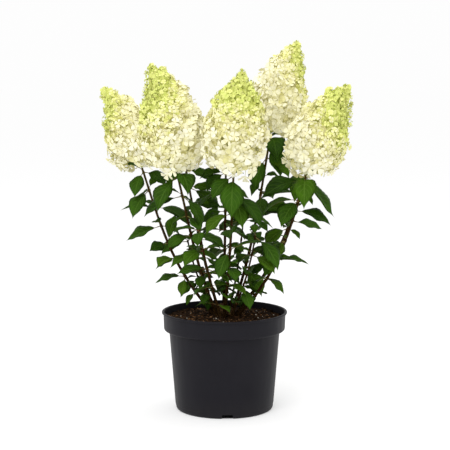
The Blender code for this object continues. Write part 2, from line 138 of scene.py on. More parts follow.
half_floor = FLOOR_SIDE / 2
floor_mesh = bpy.data.meshes.new("floor")
floor_corners = [(x * half_floor, y * half_floor, 0.0) for x, y in ((-1, -1), (1, -1), (1, 1), (-1, 1))]
floor_mesh.from_pydata(floor_corners, [], [(0, 1, 2, 3)])
floor = placed("floor", floor_mesh)
floor_mesh.materials.append(
    finish(
        "pale_floor", FLOOR_COLOUR, 0.9, Specular_IOR_Level=0.0, Emission_Color=(1.0, 1.0, 1.0, 1.0),
        Emission_Strength=FLOOR_GLOW,
    )[0]
)

# ---- The pot ----
# A round nursery pot, injection moulded in dark recycled plastic: a thin lip, a broad rim band that stands
# proud of the tapering wall, a faint stacking line near the foot and four drainage notches cut into the foot.

POT_HEIGHT = 0.205
RIM_RADIUS = 0.130
LIP_HEIGHT = 0.004
BAND_TOP_RADIUS = 0.1268
BAND_FOOT_RADIUS = 0.1255
BAND_FOOT = 0.166
BODY_TOP_RADIUS = 0.1150
BODY_FOOT_RADIUS = 0.1020
UNDERSIDE_RADIUS = 0.0985
WALL = 0.002
FLOOR = 0.0025
FOOT_ROUND = 0.006
STACKING_LINE = 0.0125
STACKING_STEP = 0.0005
STACKING_DROP = 0.0006
RIM_CHAMFER = 0.001
FOOT_TUCK = 0.0052
FOOT_RING = 0.008
RECESS_SLOPE = 0.002
UNDERSIDE_RECESS = 0.0012
TURNS = 160
WELD = 0.00001
POT_EDGE = math.radians(38)  # sharper bends than this stay crisp
ROUNDING_STEPS = 5
MOST_OF_EDGE = 0.49  # the largest share of a straight stretch that a rounding takes
NOTCHES = 4
NOTCH_FOOT_WIDTH = 0.027
NOTCH_TOP_WIDTH = 0.021
NOTCH_HEIGHT = 0.009
NOTCH_DEPTH = 0.0204
FIRST_NOTCH = math.radians(-86.5)


def rounded(corners):
    """A profile through (radius, height, rounding) corners, each one eased on a short curve."""
    line = []
    for index, (radius, height, ease) in enumerate(corners):
        here = Vector((radius, height))
        if not ease:
            line.append(here)
            continue
        before = Vector(corners[index - 1][:2]) - here
        after = Vector(corners[index + 1][:2]) - here
        start = here + before.normalized() * min(ease, before.length * MOST_OF_EDGE)
        end = here + after.normalized() * min(ease, after.length * MOST_OF_EDGE)
        for step in range(ROUNDING_STEPS + 1):
            share = step / ROUNDING_STEPS
            line.append(start * (1 - share) ** 2 + here * 2 * share * (1 - share) + end * share**2)
    return line


def settled(ob):
    """The object's mesh with its modifiers applied, in their place."""
    bpy.context.view_layer.update()
    graph = bpy.context.evaluated_depsgraph_get()
    mesh = bpy.data.meshes.new_from_object(
        ob.evaluated_get(graph), preserve_all_data_layers=True, depsgraph=graph
    )
    ob.modifiers.clear()
    return mesh


def wall_radius(height):
    """The outer radius of the pot's tapering wall."""
    climb = (height - FOOT_ROUND) / (BAND_FOOT - FOOT_ROUND)
    return BODY_FOOT_RADIUS + (BODY_TOP_RADIUS - BODY_FOOT_RADIUS) * climb


def as_mesh(name, bm):
    """A mesh of what a bmesh holds. The bmesh is used up."""
    mesh = bpy.data.meshes.new(name)
    bm.to_mesh(mesh)
    bm.free()
    return mesh


step_radius = wall_radius(STACKING_LINE)
pot_profile = rounded(
    [  # radius, height, how far the corner is eased
        (0.0, FLOOR, 0),
        (UNDERSIDE_RADIUS - WALL, FLOOR, FOOT_ROUND),
        (BODY_TOP_RADIUS - WALL, BAND_FOOT + WALL, 0.002),
        (BAND_FOOT_RADIUS - WALL, BAND_FOOT + WALL, 0.002),
        (BAND_TOP_RADIUS - WALL, POT_HEIGHT - RIM_CHAMFER, 0.001),
        (BAND_TOP_RADIUS - WALL + RIM_CHAMFER, POT_HEIGHT, 0.001),
        (RIM_RADIUS, POT_HEIGHT, 0.0018),
        (RIM_RADIUS, POT_HEIGHT - LIP_HEIGHT, 0.0016),
        (BAND_TOP_RADIUS, POT_HEIGHT - LIP_HEIGHT, 0.0008),
        (BAND_FOOT_RADIUS, BAND_FOOT, 0.0048),
        (BODY_TOP_RADIUS, BAND_FOOT, 0.0016),
        (step_radius, STACKING_LINE, 0.0004),
        (step_radius - STACKING_STEP, STACKING_LINE - STACKING_DROP, 0.0004),
        (BODY_FOOT_RADIUS - STACKING_STEP, FOOT_TUCK, 0.003),
        (UNDERSIDE_RADIUS, 0.0, 0.003),
        (UNDERSIDE_RADIUS - FOOT_RING, 0.0, 0.001),
        (UNDERSIDE_RADIUS - FOOT_RING - RECESS_SLOPE, UNDERSIDE_RECESS, 0.001),
        (0.0, UNDERSIDE_RECESS, 0),
    ]
)
pot_mesh = bpy.data.meshes.new("pot_profile")
pot_edges = [(i, i + 1) for i in range(len(pot_profile) - 1)]
pot_mesh.from_pydata([(x, 0.0, z) for x, z in pot_profile], pot_edges, [])
pot_form = placed("pot_form", pot_mesh)
turning = pot_form.modifiers.new("Turn", "SCREW")
turning.steps = TURNS
turning.render_steps = TURNS
turning.use_merge_vertices = True
turning.merge_threshold = WELD
notch_forms = []
for number in range(NOTCHES):
    bm = bmesh.new()
    bmesh.ops.create_cube(bm, size=1.0)
    for vert in bm.verts:
        high = vert.co.z > 0
        vert.co.x = BODY_FOOT_RADIUS + vert.co.x * NOTCH_DEPTH
        vert.co.y *= NOTCH_TOP_WIDTH if high else NOTCH_FOOT_WIDTH
        vert.co.z = NOTCH_HEIGHT if high else -NOTCH_HEIGHT
    bm.transform(Matrix.Rotation(FIRST_NOTCH + number * math.tau / NOTCHES, 4, "Z"))
    notch_forms.append(placed("notch", as_mesh("notch", bm)))
    cut = pot_form.modifiers.new("Notch", "BOOLEAN")
    cut.operation = "DIFFERENCE"
    cut.object = notch_forms[-1]
pot = placed("nursery_pot", settled(pot_form))
for ob in [pot_form] + notch_forms:
    bpy.data.objects.remove(ob, do_unlink=True)
pot.data.shade_smooth()
pot.data.set_sharp_from_angle(angle=POT_EDGE)


def on_object(tree):
    """The object's own coordinates, which every pattern is drawn on."""
    return add(tree, "ShaderNodeTexCoord").outputs["Object"]


def noisy(tree, fineness, detail, roughness=0.5, stretch=(1.0, 1.0, 1.0)):
    """Noise over the object, its coordinates first scaled along each axis."""
    spots = add(tree, "ShaderNodeMapping", {"Vector": on_object(tree), "Scale": stretch})
    inputs = {"Vector": spots.outputs[0], "Scale": fineness, "Detail": detail, "Roughness": roughness}
    return add(tree, "ShaderNodeTexNoise", inputs).outputs["Fac"]


def graded(tree, value, low, high, at_low, at_high):
    """A level that goes from one value to another as its input climbs between two marks."""
    marks = {"Value": value, "From Min": low, "From Max": high, "To Min": at_low, "To Max": at_high}
    return add(tree, "ShaderNodeMapRange", marks).outputs[0]


def mixed(tree, share, *colours):
    """A colour that turns from a first to a second, each a plain colour or a socket."""
    first, second = [
        colour if isinstance(colour, bpy.types.NodeSocket) else (*colour, 1.0) for colour in colours
    ]
    blend = add(tree, "ShaderNodeMix", {"Factor": share, 6: first, 7: second}, data_type="RGBA")
    return blend.outputs[2]


def emboss(tree, shader, height, strength, depth):
    """Gives a finish its fine relief."""
    relief = add(tree, "ShaderNodeBump", {"Height": height, "Strength": strength, "Distance": depth})
    tree.links.new(relief.outputs[0], shader.inputs["Normal"])


plastic, nt, shader = finish("dark_pot_plastic", (0.0155, 0.0150, 0.0178), 0.5, Specular_IOR_Level=0.11)
streaks = noisy(nt, 1.0, 3.0, stretch=(70.0, 70.0, 5.0))
height = add(nt, "ShaderNodeSeparateXYZ", {0: on_object(nt)}).outputs["Z"]
foot_dust = graded(nt, height, 0.0, 0.045, 0.5, 0.0)
dusty = add(nt, "ShaderNodeMath", {0: foot_dust, 1: streaks}, operation="MULTIPLY").outputs[0]
tone = mixed(nt, noisy(nt, 22.0, 4.0, 0.6), (0.0072, 0.0066, 0.0095), (0.0110, 0.0104, 0.0140))
nt.links.new(mixed(nt, dusty, tone, (0.028, 0.026, 0.025)), shader.inputs["Base Color"])
nt.links.new(graded(nt, streaks, 0.3, 0.7, 0.43, 0.56), shader.inputs["Roughness"])
emboss(nt, shader, noisy(nt, 1500.0, 2.0), 0.12, 0.0003)
pot.data.materials.clear()
pot.data.materials.append(plastic)
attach(pot, "root")
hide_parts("pot")

# ---- The compost ----
# Bark and peat compost, a crumbly dark ground mounded a little towards the plant, with chips of bark,
# fibres and a few white specks strewn over it.

SOIL_EDGE_HEIGHT = 0.190
SOIL_TOP = 0.1955
SOIL_FLAT_RADIUS = 0.040
SOIL_RADIUS = 0.1231
SOIL_RINGS = 56
SOIL_SPOKES = 150
SOIL_SIDE = 0.014
CLODS = ((55.0, 0.0034), (150.0, 0.0024), (420.0, 0.0010))  # how fine, how high
BIT_TILT = 0.45
BIT_SUNK = 0.0006
CHIP_ENDS = (0.35, 0.8)  # how narrow a chip's ends are beside its middle
FIBRE_STEPS = 5
FIBRE_THICK = 0.028
FIBRE_BEND = (0.2, 0.5)
FIBRE_WRIGGLE = 0.10


def soil_height(x, y):
    radius = math.hypot(x, y)
    slope = max(0.0, (radius - SOIL_FLAT_RADIUS) / (SOIL_RADIUS - SOIL_FLAT_RADIUS))
    level = SOIL_TOP + (SOIL_EDGE_HEIGHT - SOIL_TOP) * slope
    return level + sum(noise.noise(Vector((x, y, 0.0)) * fine) * high for fine, high in CLODS)


verts = [(0.0, 0.0, soil_height(0.0, 0.0))]
for ring in range(1, SOIL_RINGS + 1):
    for spoke in range(SOIL_SPOKES):
        angle = spoke * math.tau / SOIL_SPOKES
        reach = SOIL_RADIUS * ring / SOIL_RINGS
        x, y = reach * math.cos(angle), reach * math.sin(angle)
        verts.append((x, y, soil_height(x, y)))
edge = len(verts) - SOIL_SPOKES
verts += [(x, y, SOIL_EDGE_HEIGHT - SOIL_SIDE) for x, y, z in verts[edge:]]
faces = [(0, 1 + i, 1 + (i + 1) % SOIL_SPOKES) for i in range(SOIL_SPOKES)]
for ring in range(SOIL_RINGS):
    low = 1 + ring * SOIL_SPOKES
    for i in range(SOIL_SPOKES):
        j = (i + 1) % SOIL_SPOKES
        faces.append((low + i, low + SOIL_SPOKES + i, low + SOIL_SPOKES + j, low + j))
faces.append(tuple(range(len(verts) - 1, len(verts) - 1 - SOIL_SPOKES, -1)))
mesh = bpy.data.meshes.new("compost_ground")
mesh.from_pydata(verts, [], faces)
mesh.validate()
mesh.shade_smooth()
compost = placed("compost_ground", mesh)


def two_tones(tree, share, low, dark, high, light):
    """A colour that goes from dark to light as a share climbs between two marks."""
    ramp = add(tree, "ShaderNodeValToRGB", {"Fac": share})
    for index, (mark, colour) in enumerate(((low, dark), (high, light))):
        ramp.color_ramp.elements[index].position = mark
        ramp.color_ramp.elements[index].color = (*colour, 1.0)
    return ramp.outputs["Color"]


peat, nt, shader = finish("dark_compost", (0.016, 0.009, 0.004), 0.95, Specular_IOR_Level=0.05)
crumbs = noisy(nt, 260.0, 6.0, 0.7)
tone = two_tones(nt, crumbs, 0.36, (0.003, 0.0015, 0.0007), 0.70, (0.044, 0.022, 0.0095))
nt.links.new(tone, shader.inputs["Base Color"])
emboss(nt, shader, crumbs, 0.9, 0.002)
mesh.materials.append(peat)
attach(compost, "root")
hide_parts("compost")


def new_tree(name, **sockets):
    """A Geometry Nodes tree with a geometry going in and out, and named inputs of the given kinds."""
    tree = bpy.data.node_groups.new(name, "GeometryNodeTree")
    tree.interface.new_socket("Geometry", in_out="INPUT", socket_type="NodeSocketGeometry")
    for label, kind in sockets.items():
        tree.interface.new_socket(label.replace("_", " "), in_out="INPUT", socket_type="NodeSocket" + kind)
    tree.interface.new_socket("Geometry", in_out="OUTPUT", socket_type="NodeSocketGeometry")
    return tree, add(tree, "NodeGroupInput").outputs


def grown(name, source, tree, inputs):
    """What a tree makes of a source object, as a plain mesh object. The source is used up."""
    growth = source.modifiers.new("Grow", "NODES")
    growth.node_group = tree
    for item in tree.interface.items_tree:
        if item.in_out == "INPUT" and item.name in inputs:
            growth[item.identifier] = inputs[item.name]
    mesh = settled(source)
    mesh.name = name
    bpy.data.objects.remove(source, do_unlink=True)
    return placed(name, mesh)


strew, given = new_tree(
    "strew_on_compost", Bit="Object", Per_square_metre="Float", Least="Float", Most="Float", Sunk="Float",
    Seed="Int", Finish="Material",
)
spread = add(
    strew, "GeometryNodeDistributePointsOnFaces",
    {"Mesh": given["Geometry"], "Density": given["Per square metre"], "Seed": given["Seed"]},
)
any_turn = add(
    strew, "FunctionNodeRandomValue",
    {0: (-BIT_TILT, -BIT_TILT, 0.0), 1: (BIT_TILT, BIT_TILT, math.tau), "Seed": given["Seed"]},
    data_type="FLOAT_VECTOR",
)
turned = add(strew, "FunctionNodeEulerToRotation", {0: any_turn.outputs[0]})
any_size = add(
    strew, "FunctionNodeRandomValue", {2: given["Least"], 3: given["Most"], "Seed": given["Seed"]},
    data_type="FLOAT",
)
bit = add(strew, "GeometryNodeObjectInfo", {"Object": given["Bit"]})
laid = add(
    strew, "GeometryNodeInstanceOnPoints",
    {
        "Points": spread.outputs["Points"],
        "Instance": bit.outputs["Geometry"],
        "Rotation": turned.outputs[0],
        "Scale": any_size.outputs[1],
    },
)
real = add(strew, "GeometryNodeRealizeInstances", {0: laid.outputs[0]})
dip = add(strew, "ShaderNodeCombineXYZ", {"Z": given["Sunk"]})
sunk = add(strew, "GeometryNodeSetPosition", {"Geometry": real.outputs[0], "Offset": dip.outputs[0]})
done = add(strew, "GeometryNodeSetMaterial", {"Geometry": sunk.outputs[0], "Material": given["Finish"]})
add(strew, "NodeGroupOutput", {0: done.outputs[0]})


def chip_form(name, width, height, seed, ragged):
    """A splinter of bark, a unit long: a bevelled block pulled out of true."""
    dice = random.Random(seed)
    bm = bmesh.new()
    bmesh.ops.create_cube(bm, size=1.0)
    bmesh.ops.subdivide_edges(
        bm, edges=[e for e in bm.edges if abs(e.verts[0].co.x - e.verts[1].co.x) > 0.5], cuts=1
    )
    for vert in bm.verts:
        narrowing = 1.0 if abs(vert.co.x) < 0.3 else dice.uniform(*CHIP_ENDS)
        vert.co.x *= dice.uniform(1 - ragged, 1.0)
        vert.co.y *= width * narrowing * dice.uniform(1 - ragged, 1.0)
        vert.co.z *= height * narrowing * dice.uniform(1 - ragged, 1.0)
    return placed(name, as_mesh(name, bm))


def fibre_form(name, seed):
    """A curled fibre, a unit long: a thin three-sided thread."""
    dice = random.Random(seed)
    bend = dice.uniform(*FIBRE_BEND)
    rings = []
    bm = bmesh.new()
    for step in range(FIBRE_STEPS + 1):
        along = step / FIBRE_STEPS - 0.5
        middle = Vector((along, bend * (0.25 - along * along), FIBRE_WRIGGLE * math.sin(step * 1.7)))
        thick = FIBRE_THICK * (1.2 - 2 * abs(along))
        rings.append([
            bm.verts.new(middle + Vector((0, math.cos(a), math.sin(a))) * thick) for a in (0.0, 2.1, 4.2)
        ])
    for low, high in zip(rings, rings[1:]):
        for i in range(3):
            bm.faces.new((low[i], low[(i + 1) % 3], high[(i + 1) % 3], high[i]))
    bm.faces.new(rings[0])
    bm.faces.new(rings[-1])
    bmesh.ops.recalc_face_normals(bm, faces=bm.faces)
    return placed(name, as_mesh(name, bm))


def bark_finish(name, dark, light):
    mat, nt, shader = finish(name, light, 0.9, Specular_IOR_Level=0.08)
    tone = two_tones(nt, noisy(nt, 190.0, 4.0), 0.35, dark, 0.65, light)
    nt.links.new(tone, shader.inputs["Base Color"])
    return mat


BITS = (  # name, form, per square metre, least and greatest length, seed, finish
    ("brown_bark_chips", chip_form("chip", 0.55, 0.26, 3, 0.35), 8000, 0.0045, 0.0120, 11,
     bark_finish("brown_bark", (0.008, 0.004, 0.0015), (0.058, 0.026, 0.010))),
    ("tan_bark_chips", chip_form("chip", 0.38, 0.20, 8, 0.35), 3600, 0.0036, 0.0095, 23,
     bark_finish("tan_bark", (0.075, 0.034, 0.013), (0.310, 0.160, 0.068))),
    ("compost_fibres", fibre_form("fibre", 5), 2800, 0.0060, 0.0150, 37,
     bark_finish("peat_fibre", (0.030, 0.016, 0.007), (0.180, 0.100, 0.045))),
    ("white_specks", chip_form("speck", 0.8, 0.7, 14, 0.3), 1100, 0.0012, 0.0032, 51,
     bark_finish("white_speck", (0.420, 0.390, 0.320), (0.780, 0.750, 0.660))),
)
bm = bmesh.new()
bm.from_mesh(compost.data)
buried = [vert for vert in bm.verts if vert.co.z < SOIL_EDGE_HEIGHT - SOIL_SIDE / 2]
bmesh.ops.delete(bm, geom=buried, context="VERTS")
surface = as_mesh("strewn_ground", bm)
for name, form, density, least, most, seed, bit_finish in BITS:
    settings = {
        "Bit": form, "Per square metre": float(density), "Least": least, "Most": most,
        "Sunk": BIT_SUNK, "Seed": seed, "Finish": bit_finish,
    }
    bits = grown(name, placed("ground_guide", surface.copy()), strew, settings)
    bpy.data.objects.remove(form, do_unlink=True)
    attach(bits, "root")

# ---- The old stubs ----
# Stumps of canes that were cut back in earlier years, standing in the compost between the live ones:
# knobbly, weathered tan-brown wood that narrows to a rough top.

STUBS = {  # foot x, foot y, radius, height
    "stub_middle": (-0.003, 0.000, 0.0072, 0.024),
    "stub_front": (0.011, -0.009, 0.0060, 0.018),
    "stub_back": (0.003, 0.012, 0.0045, 0.020),
}
STUB_LEAN = math.radians(14)
STUB_SWELL = 1.12
STUB_ROUNDING = 0.35
STUB_KNOTS = 0.28
KNOT_SPREAD = 11  # radians of knobbliness from foot to top
STUB_RELIEF = 0.0048
STUB_FOOT = 0.004
STUB_RING = 0.0012
STUB_CROWN = (0.0006, 0.45)  # how far the cut top stands above its rim, and its radius beside the stub's


def leaning(azimuth, lean):
    """The direction that leans from the vertical by an angle towards an azimuth."""
    return Vector((math.sin(lean) * math.cos(azimuth), math.sin(lean) * math.sin(azimuth), math.cos(lean)))


def drawn(name, lines):
    """A curve object of straight-jointed lines, each a list of (point, radius)."""
    curve = bpy.data.curves.new(name, "CURVE")
    curve.dimensions = "3D"
    for line in lines:
        spline = curve.splines.new("POLY")
        spline.points.add(len(line) - 1)
        for spot, (point, radius) in zip(spline.points, line):
            spot.co = (*point, 1.0)
            spot.radius = radius
    return placed(name, curve)


flesh_out, given = new_tree(
    "flesh_out_limbs", Sides="Int", Relief="Float", Fineness="Float", Stretch="Float", Finish="Material"
)
section = add(flesh_out, "GeometryNodeCurvePrimitiveCircle", {"Resolution": given["Sides"], "Radius": 1.0})
girth = add(flesh_out, "GeometryNodeInputRadius")
skin = add(
    flesh_out, "GeometryNodeCurveToMesh",
    {
        "Curve": given["Geometry"],
        "Profile Curve": section.outputs["Curve"],
        "Scale": girth.outputs[0],
        "Fill Caps": True,
    },
)
spot = add(flesh_out, "GeometryNodeInputPosition")
flatten = add(flesh_out, "ShaderNodeCombineXYZ", {"X": 1.0, "Y": 1.0, "Z": given["Stretch"]})
drawn_out = add(
    flesh_out, "ShaderNodeVectorMath", {0: spot.outputs[0], 1: flatten.outputs[0]}, operation="MULTIPLY"
)
ridges = add(
    flesh_out, "ShaderNodeTexNoise",
    {"Vector": drawn_out.outputs[0], "Scale": given["Fineness"], "Detail": 3.0, "Roughness": 0.6},
)
centred = add(flesh_out, "ShaderNodeMath", {0: ridges.outputs["Fac"], 1: 0.5}, operation="SUBTRACT")
raised = add(flesh_out, "ShaderNodeMath", {0: centred.outputs[0], 1: given["Relief"]}, operation="MULTIPLY")
outward = add(flesh_out, "GeometryNodeInputNormal")
push = add(
    flesh_out, "ShaderNodeVectorMath", {0: outward.outputs[0], "Scale": raised.outputs[0]}, operation="SCALE"
)
rough = add(flesh_out, "GeometryNodeSetPosition", {"Geometry": skin.outputs[0], "Offset": push.outputs[0]})
smooth = add(flesh_out, "GeometryNodeSetShadeSmooth", {"Geometry": rough.outputs[0]})
real = add(flesh_out, "GeometryNodeRealizeInstances", {0: smooth.outputs[0]})
done = add(flesh_out, "GeometryNodeSetMaterial", {"Geometry": real.outputs[0], "Material": given["Finish"]})
add(flesh_out, "NodeGroupOutput", {0: done.outputs[0]})

old_wood, nt, shader = finish("old_wood", (0.12, 0.065, 0.030), 0.9, Specular_IOR_Level=0.08)
flakes = noisy(nt, 330.0, 5.0, 0.65)
tone = two_tones(nt, flakes, 0.34, (0.016, 0.008, 0.004), 0.66, (0.170, 0.088, 0.040))
nt.links.new(tone, shader.inputs["Base Color"])
emboss(nt, shader, flakes, 0.8, 0.001)

lines = []
for name, (x, y, radius, height) in STUBS.items():
    dice = random.Random(name)
    foot = Vector((x, y, SOIL_TOP))
    lean = leaning(math.atan2(y, x), STUB_LEAN)
    rings = round((height + STUB_FOOT) / STUB_RING)
    phase = dice.uniform(0, math.tau)
    line = []
    for ring in range(rings + 1):
        distance = -STUB_FOOT + (height + STUB_FOOT) * ring / rings
        share = max(0.0, distance / height)
        knot = 1 + STUB_KNOTS * math.sin(phase + KNOT_SPREAD * share) * (1 - share)
        line.append((foot + lean * distance, radius * (STUB_SWELL - STUB_ROUNDING * share**2) * knot))
    line.append((line[-1][0] + lean * STUB_CROWN[0], radius * STUB_CROWN[1]))
    lines.append(line)
stubs = grown(
    "old_stubs", drawn("stub_guides", lines), flesh_out,
    {"Sides": 22, "Relief": STUB_RELIEF, "Fineness": 240.0, "Stretch": 0.55, "Finish": old_wood},
)
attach(stubs, "root")
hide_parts(*STUBS)

# ---- The canes ----
# Slender arching stems of this and last year's wood, dark red-brown with fine lengthwise ridges below and
# olive towards the top, a little swollen at every pair of leaves. None of them branches: eight end in a
# bloom and the four shoots in leaves.

CANES = {  # foot x, foot y, top x, top y, top z, lean at the foot and at the top in degrees
    "left": (-0.020, 0.002, -0.171, 0.030, 0.500, 44, 18),
    "front_left": (-0.014, -0.012, -0.096, -0.060, 0.499, 26, 15),
    "back_left": (-0.010, 0.014, -0.084, 0.120, 0.497, 30, 18),
    "front": (-0.001, -0.018, 0.018, -0.120, 0.505, 30, 10),
    "back": (-0.002, 0.023, 0.003, 0.076, 0.496, 14, 8),
    "tall": (0.014, 0.013, 0.097, 0.090, 0.565, 26, 13),
    "right": (0.027, -0.003, 0.167, -0.030, 0.489, 44, 17),
    "back_right": (0.025, 0.014, 0.176, 0.118, 0.488, 46, 18),
    "shoot_front_left": (-0.008, -0.027, -0.050, -0.085, 0.385, 22, 14),
    "shoot_front_right": (0.013, -0.023, 0.062, -0.075, 0.372, 30, 12),
    "shoot_back": (0.008, 0.030, 0.040, 0.060, 0.390, 20, 8),
    "shoot_back_left": (-0.022, 0.018, -0.078, 0.062, 0.345, 34, 16),
}
FIRST_PAIR = {  # how far along each cane its lowest leaves stand
    "left": 0.062,
    "front_left": 0.058,
    "back_left": 0.050,
    "front": 0.046,
    "back": 0.052,
    "tall": 0.060,
    "right": 0.056,
    "back_right": 0.052,
    "shoot_front_left": 0.030,
    "shoot_front_right": 0.034,
    "shoot_back": 0.036,
    "shoot_back_left": 0.040,
}
BLOOMS = {  # tip x, tip y, tip z, greatest radius, how far it straightens up from its cane's lean
    "left": (-0.253, 0.034, 0.663, 0.055, 0.1),
    "front_left": (-0.149, -0.066, 0.714, 0.068, 1.1),
    "back_left": (-0.128, 0.150, 0.655, 0.048, 0.5),
    "front": (0.037, -0.128, 0.703, 0.067, 0.3),
    "back": (0.016, 0.086, 0.656, 0.050, 0.5),
    "tall": (0.158, 0.104, 0.760, 0.058, 0.1),
    "right": (0.254, -0.036, 0.670, 0.068, 0.3),
    "back_right": (0.222, 0.152, 0.622, 0.050, 0.5),
}
CLEAR = 0.0003  # the gap between a cane's top and its bloom's stem
CANE_FOOT_RADIUS = 0.0034
CANE_TOP_RADIUS = 0.0022
SHOOT_THICKNESS = 0.72
FOOT_FLARE = 0.45
FLARE_HEIGHT = 0.012
BOW = 0.38
BLOOM_SPRING = 0.2
BLOOM_RISE = 0.6
PAIR_SPACING = 0.041
BARE_BELOW_BLOOM = 0.010
BARE_SHOOT_TIP = 0.004
CANE_RING = 0.0025
CANE_SIDES = 12
JOINT_SWELLING = 0.34
JOINT_LENGTH = 0.0028
CANE_RELIEF = 0.0011
CANE_BURIED = 0.006


class Path:
    """A Bezier line in space, read by distance."""

    STEPS = 64

    def __init__(self, *corners):
        self.points = [self.at(corners, step / self.STEPS) for step in range(self.STEPS + 1)]
        self.marks = [0.0]
        for a, b in zip(self.points, self.points[1:]):
            self.marks.append(self.marks[-1] + (b - a).length)
        self.length = self.marks[-1]

    @staticmethod
    def at(corners, share):
        points = list(corners)
        while len(points) > 1:
            points = [a.lerp(b, share) for a, b in zip(points, points[1:])]
        return points[0]

    def read(self, distance):
        """The point and the direction at a distance along the line."""
        step = 0
        while step < self.STEPS - 1 and self.marks[step + 1] < distance:
            step += 1
        a, b = self.points[step], self.points[step + 1]
        share = (distance - self.marks[step]) / (b - a).length
        return a + (b - a) * share, (b - a).normalized()


def cane_path(name):
    foot_x, foot_y, top_x, top_y, top_z, foot_lean, top_lean = CANES[name]
    foot = Vector((foot_x, foot_y, SOIL_TOP))
    top = Vector((top_x, top_y, top_z))
    azimuth = math.atan2(top_y - foot_y, top_x - foot_x)
    carry = (top - foot).length * BOW
    out = leaning(azimuth, math.radians(foot_lean)) * carry
    back = leaning(azimuth, math.radians(top_lean)) * carry
    return Path(foot, foot + out, top - back, top)


def bloom_path(name):
    """A bloom's axis, from just above its cane's top to its own tip."""
    cane = cane_paths[name]
    top, direction = cane.read(cane.length)
    start = top + direction * CLEAR
    tip = Vector(BLOOMS[name][:3])
    length = (tip - start).length
    upward = direction.lerp(UP, BLOOMS[name][4]).normalized()
    spring = start + direction * length * BLOOM_SPRING
    return Path(start, spring, start + upward * length * BLOOM_RISE, tip)


def pair_distances(name):
    """How far along its cane each pair of leaves stands."""
    first = FIRST_PAIR[name]
    last = cane_paths[name].length - (BARE_BELOW_BLOOM if name in BLOOMS else BARE_SHOOT_TIP)
    count = round((last - first) / PAIR_SPACING)
    return [first + (last - first) * pair / count for pair in range(count + 1)]


def cane_radius(name, distance):
    """An even taper, with a flare at the soil."""
    radius = CANE_FOOT_RADIUS + (CANE_TOP_RADIUS - CANE_FOOT_RADIUS) * distance / cane_paths[name].length
    radius *= SHOOT_THICKNESS if name.startswith("shoot") else 1.0
    return radius * (1 + FOOT_FLARE * math.exp(-max(distance, 0.0) / FLARE_HEIGHT))


cane_paths = {name: cane_path(name) for name in CANES}
bloom_paths = {name: bloom_path(name) for name in BLOOMS}

cane_bark, nt, shader = finish("cane_bark", (0.036, 0.018, 0.006), 0.8, Specular_IOR_Level=0.03)
ridges = noisy(nt, 620.0, 4.0, stretch=(1.0, 1.0, 0.16))
wood = two_tones(nt, ridges, 0.34, (0.0080, 0.0040, 0.0010), 0.68, (0.056, 0.028, 0.0070))
green = two_tones(nt, ridges, 0.30, (0.036, 0.027, 0.0035), 0.70, (0.115, 0.086, 0.0160))
height = add(nt, "ShaderNodeSeparateXYZ", {0: on_object(nt)}).outputs["Z"]
wander = add(nt, "ShaderNodeMath", {0: noisy(nt, 38.0, 3.0), 1: 0.16, 2: height}, operation="MULTIPLY_ADD")
youth = graded(nt, wander.outputs[0], 0.46, 0.60, 0.0, 0.85)
pores = graded(nt, noisy(nt, 750.0, 1.0), 0.66, 0.72, 0.0, 1.0)
tone = mixed(nt, pores, mixed(nt, youth, wood, green), (0.120, 0.066, 0.024))
nt.links.new(tone, shader.inputs["Base Color"])
emboss(nt, shader, ridges, 0.6, 0.0006)

lines = []
for name, path in cane_paths.items():
    joints = pair_distances(name)
    rings = round((path.length + CANE_BURIED) / CANE_RING)
    line = []
    for ring in range(rings + 1):
        distance = -CANE_BURIED + (path.length + CANE_BURIED) * ring / rings
        swell = max(math.exp(-(((distance - joint) / JOINT_LENGTH) ** 2)) for joint in joints)
        radius = cane_radius(name, distance) * (1 + JOINT_SWELLING * swell)
        line.append((path.read(distance)[0], radius))
    lines.append(line)
canes = grown(
    "canes", drawn("cane_guides", lines), flesh_out,
    {"Sides": CANE_SIDES, "Relief": CANE_RELIEF, "Fineness": 420.0, "Stretch": 0.14, "Finish": cane_bark},
)
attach(canes, "root")
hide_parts(*[f"cane_{name}" for name in CANES])

# ---- The leaves ----
# Opposite pairs, each a quarter turn on from the last: soft ovate blades with drawn-out tips, sunken midribs
# and curved side veins, dark above and paler beneath, on thin yellow-brown stalks that run on as the midrib.

CROWN_DEPTH = 0.30
LEAF_LENGTH_LOW = 0.056
LEAF_LENGTH_HIGH = 0.094
LENGTH_VARIES = (0.84, 1.12)
AZIMUTH_VARIES = 0.40
RISE_AT_ROOT = (0, 38)
HIGH_LEAF_SAG = (6, 48)
BEND = (34, 68)
ROLL_VARIES = 0.6
SHOOT_LEAF = 0.88
STEEPEST_DROOP = math.radians(-86)
STALK = 0.17
STALK_RADIUS = 0.00095
STALK_RINGS = (0.0, 0.04, 0.10, STALK, 0.30, 0.48, 0.66)
STALK_FLARE = 1.35
STALK_THINS = 3.0
RIB_THICK = 0.75
RIB_RUN = 0.56
LEAST_RIB = 0.00012
BLADE_HALF = 0.285
FOLD = math.radians(22)
TRIES = (  # degrees turned and size: a leaf keeps the first that ends on a leaf of the solids
    (0, 1.0), (22, 1.0), (-22, 1.0), (44, 0.9), (-44, 0.9), (0, 0.72), (34, 0.68), (-34, 0.68),
)
ON_A_LEAF = 0.0002
BLADE_ROWS = 20
BLADE_THICK = 0.0005
WAVE = 0.0016
RIPPLES = (1.6, 2.6)
SIDES_OUT_OF_STEP = 1.9
FULL_WAVE_WIDTH = 0.012
CAMBER = 0.14
CUP = (0.6, 1.25)
RIM_EASES = 0.35
VEINS = 6.5
VEIN_SLANT = 0.44
SERRATION = 0.028
TEETH_VARY = (0.4, 1.0)
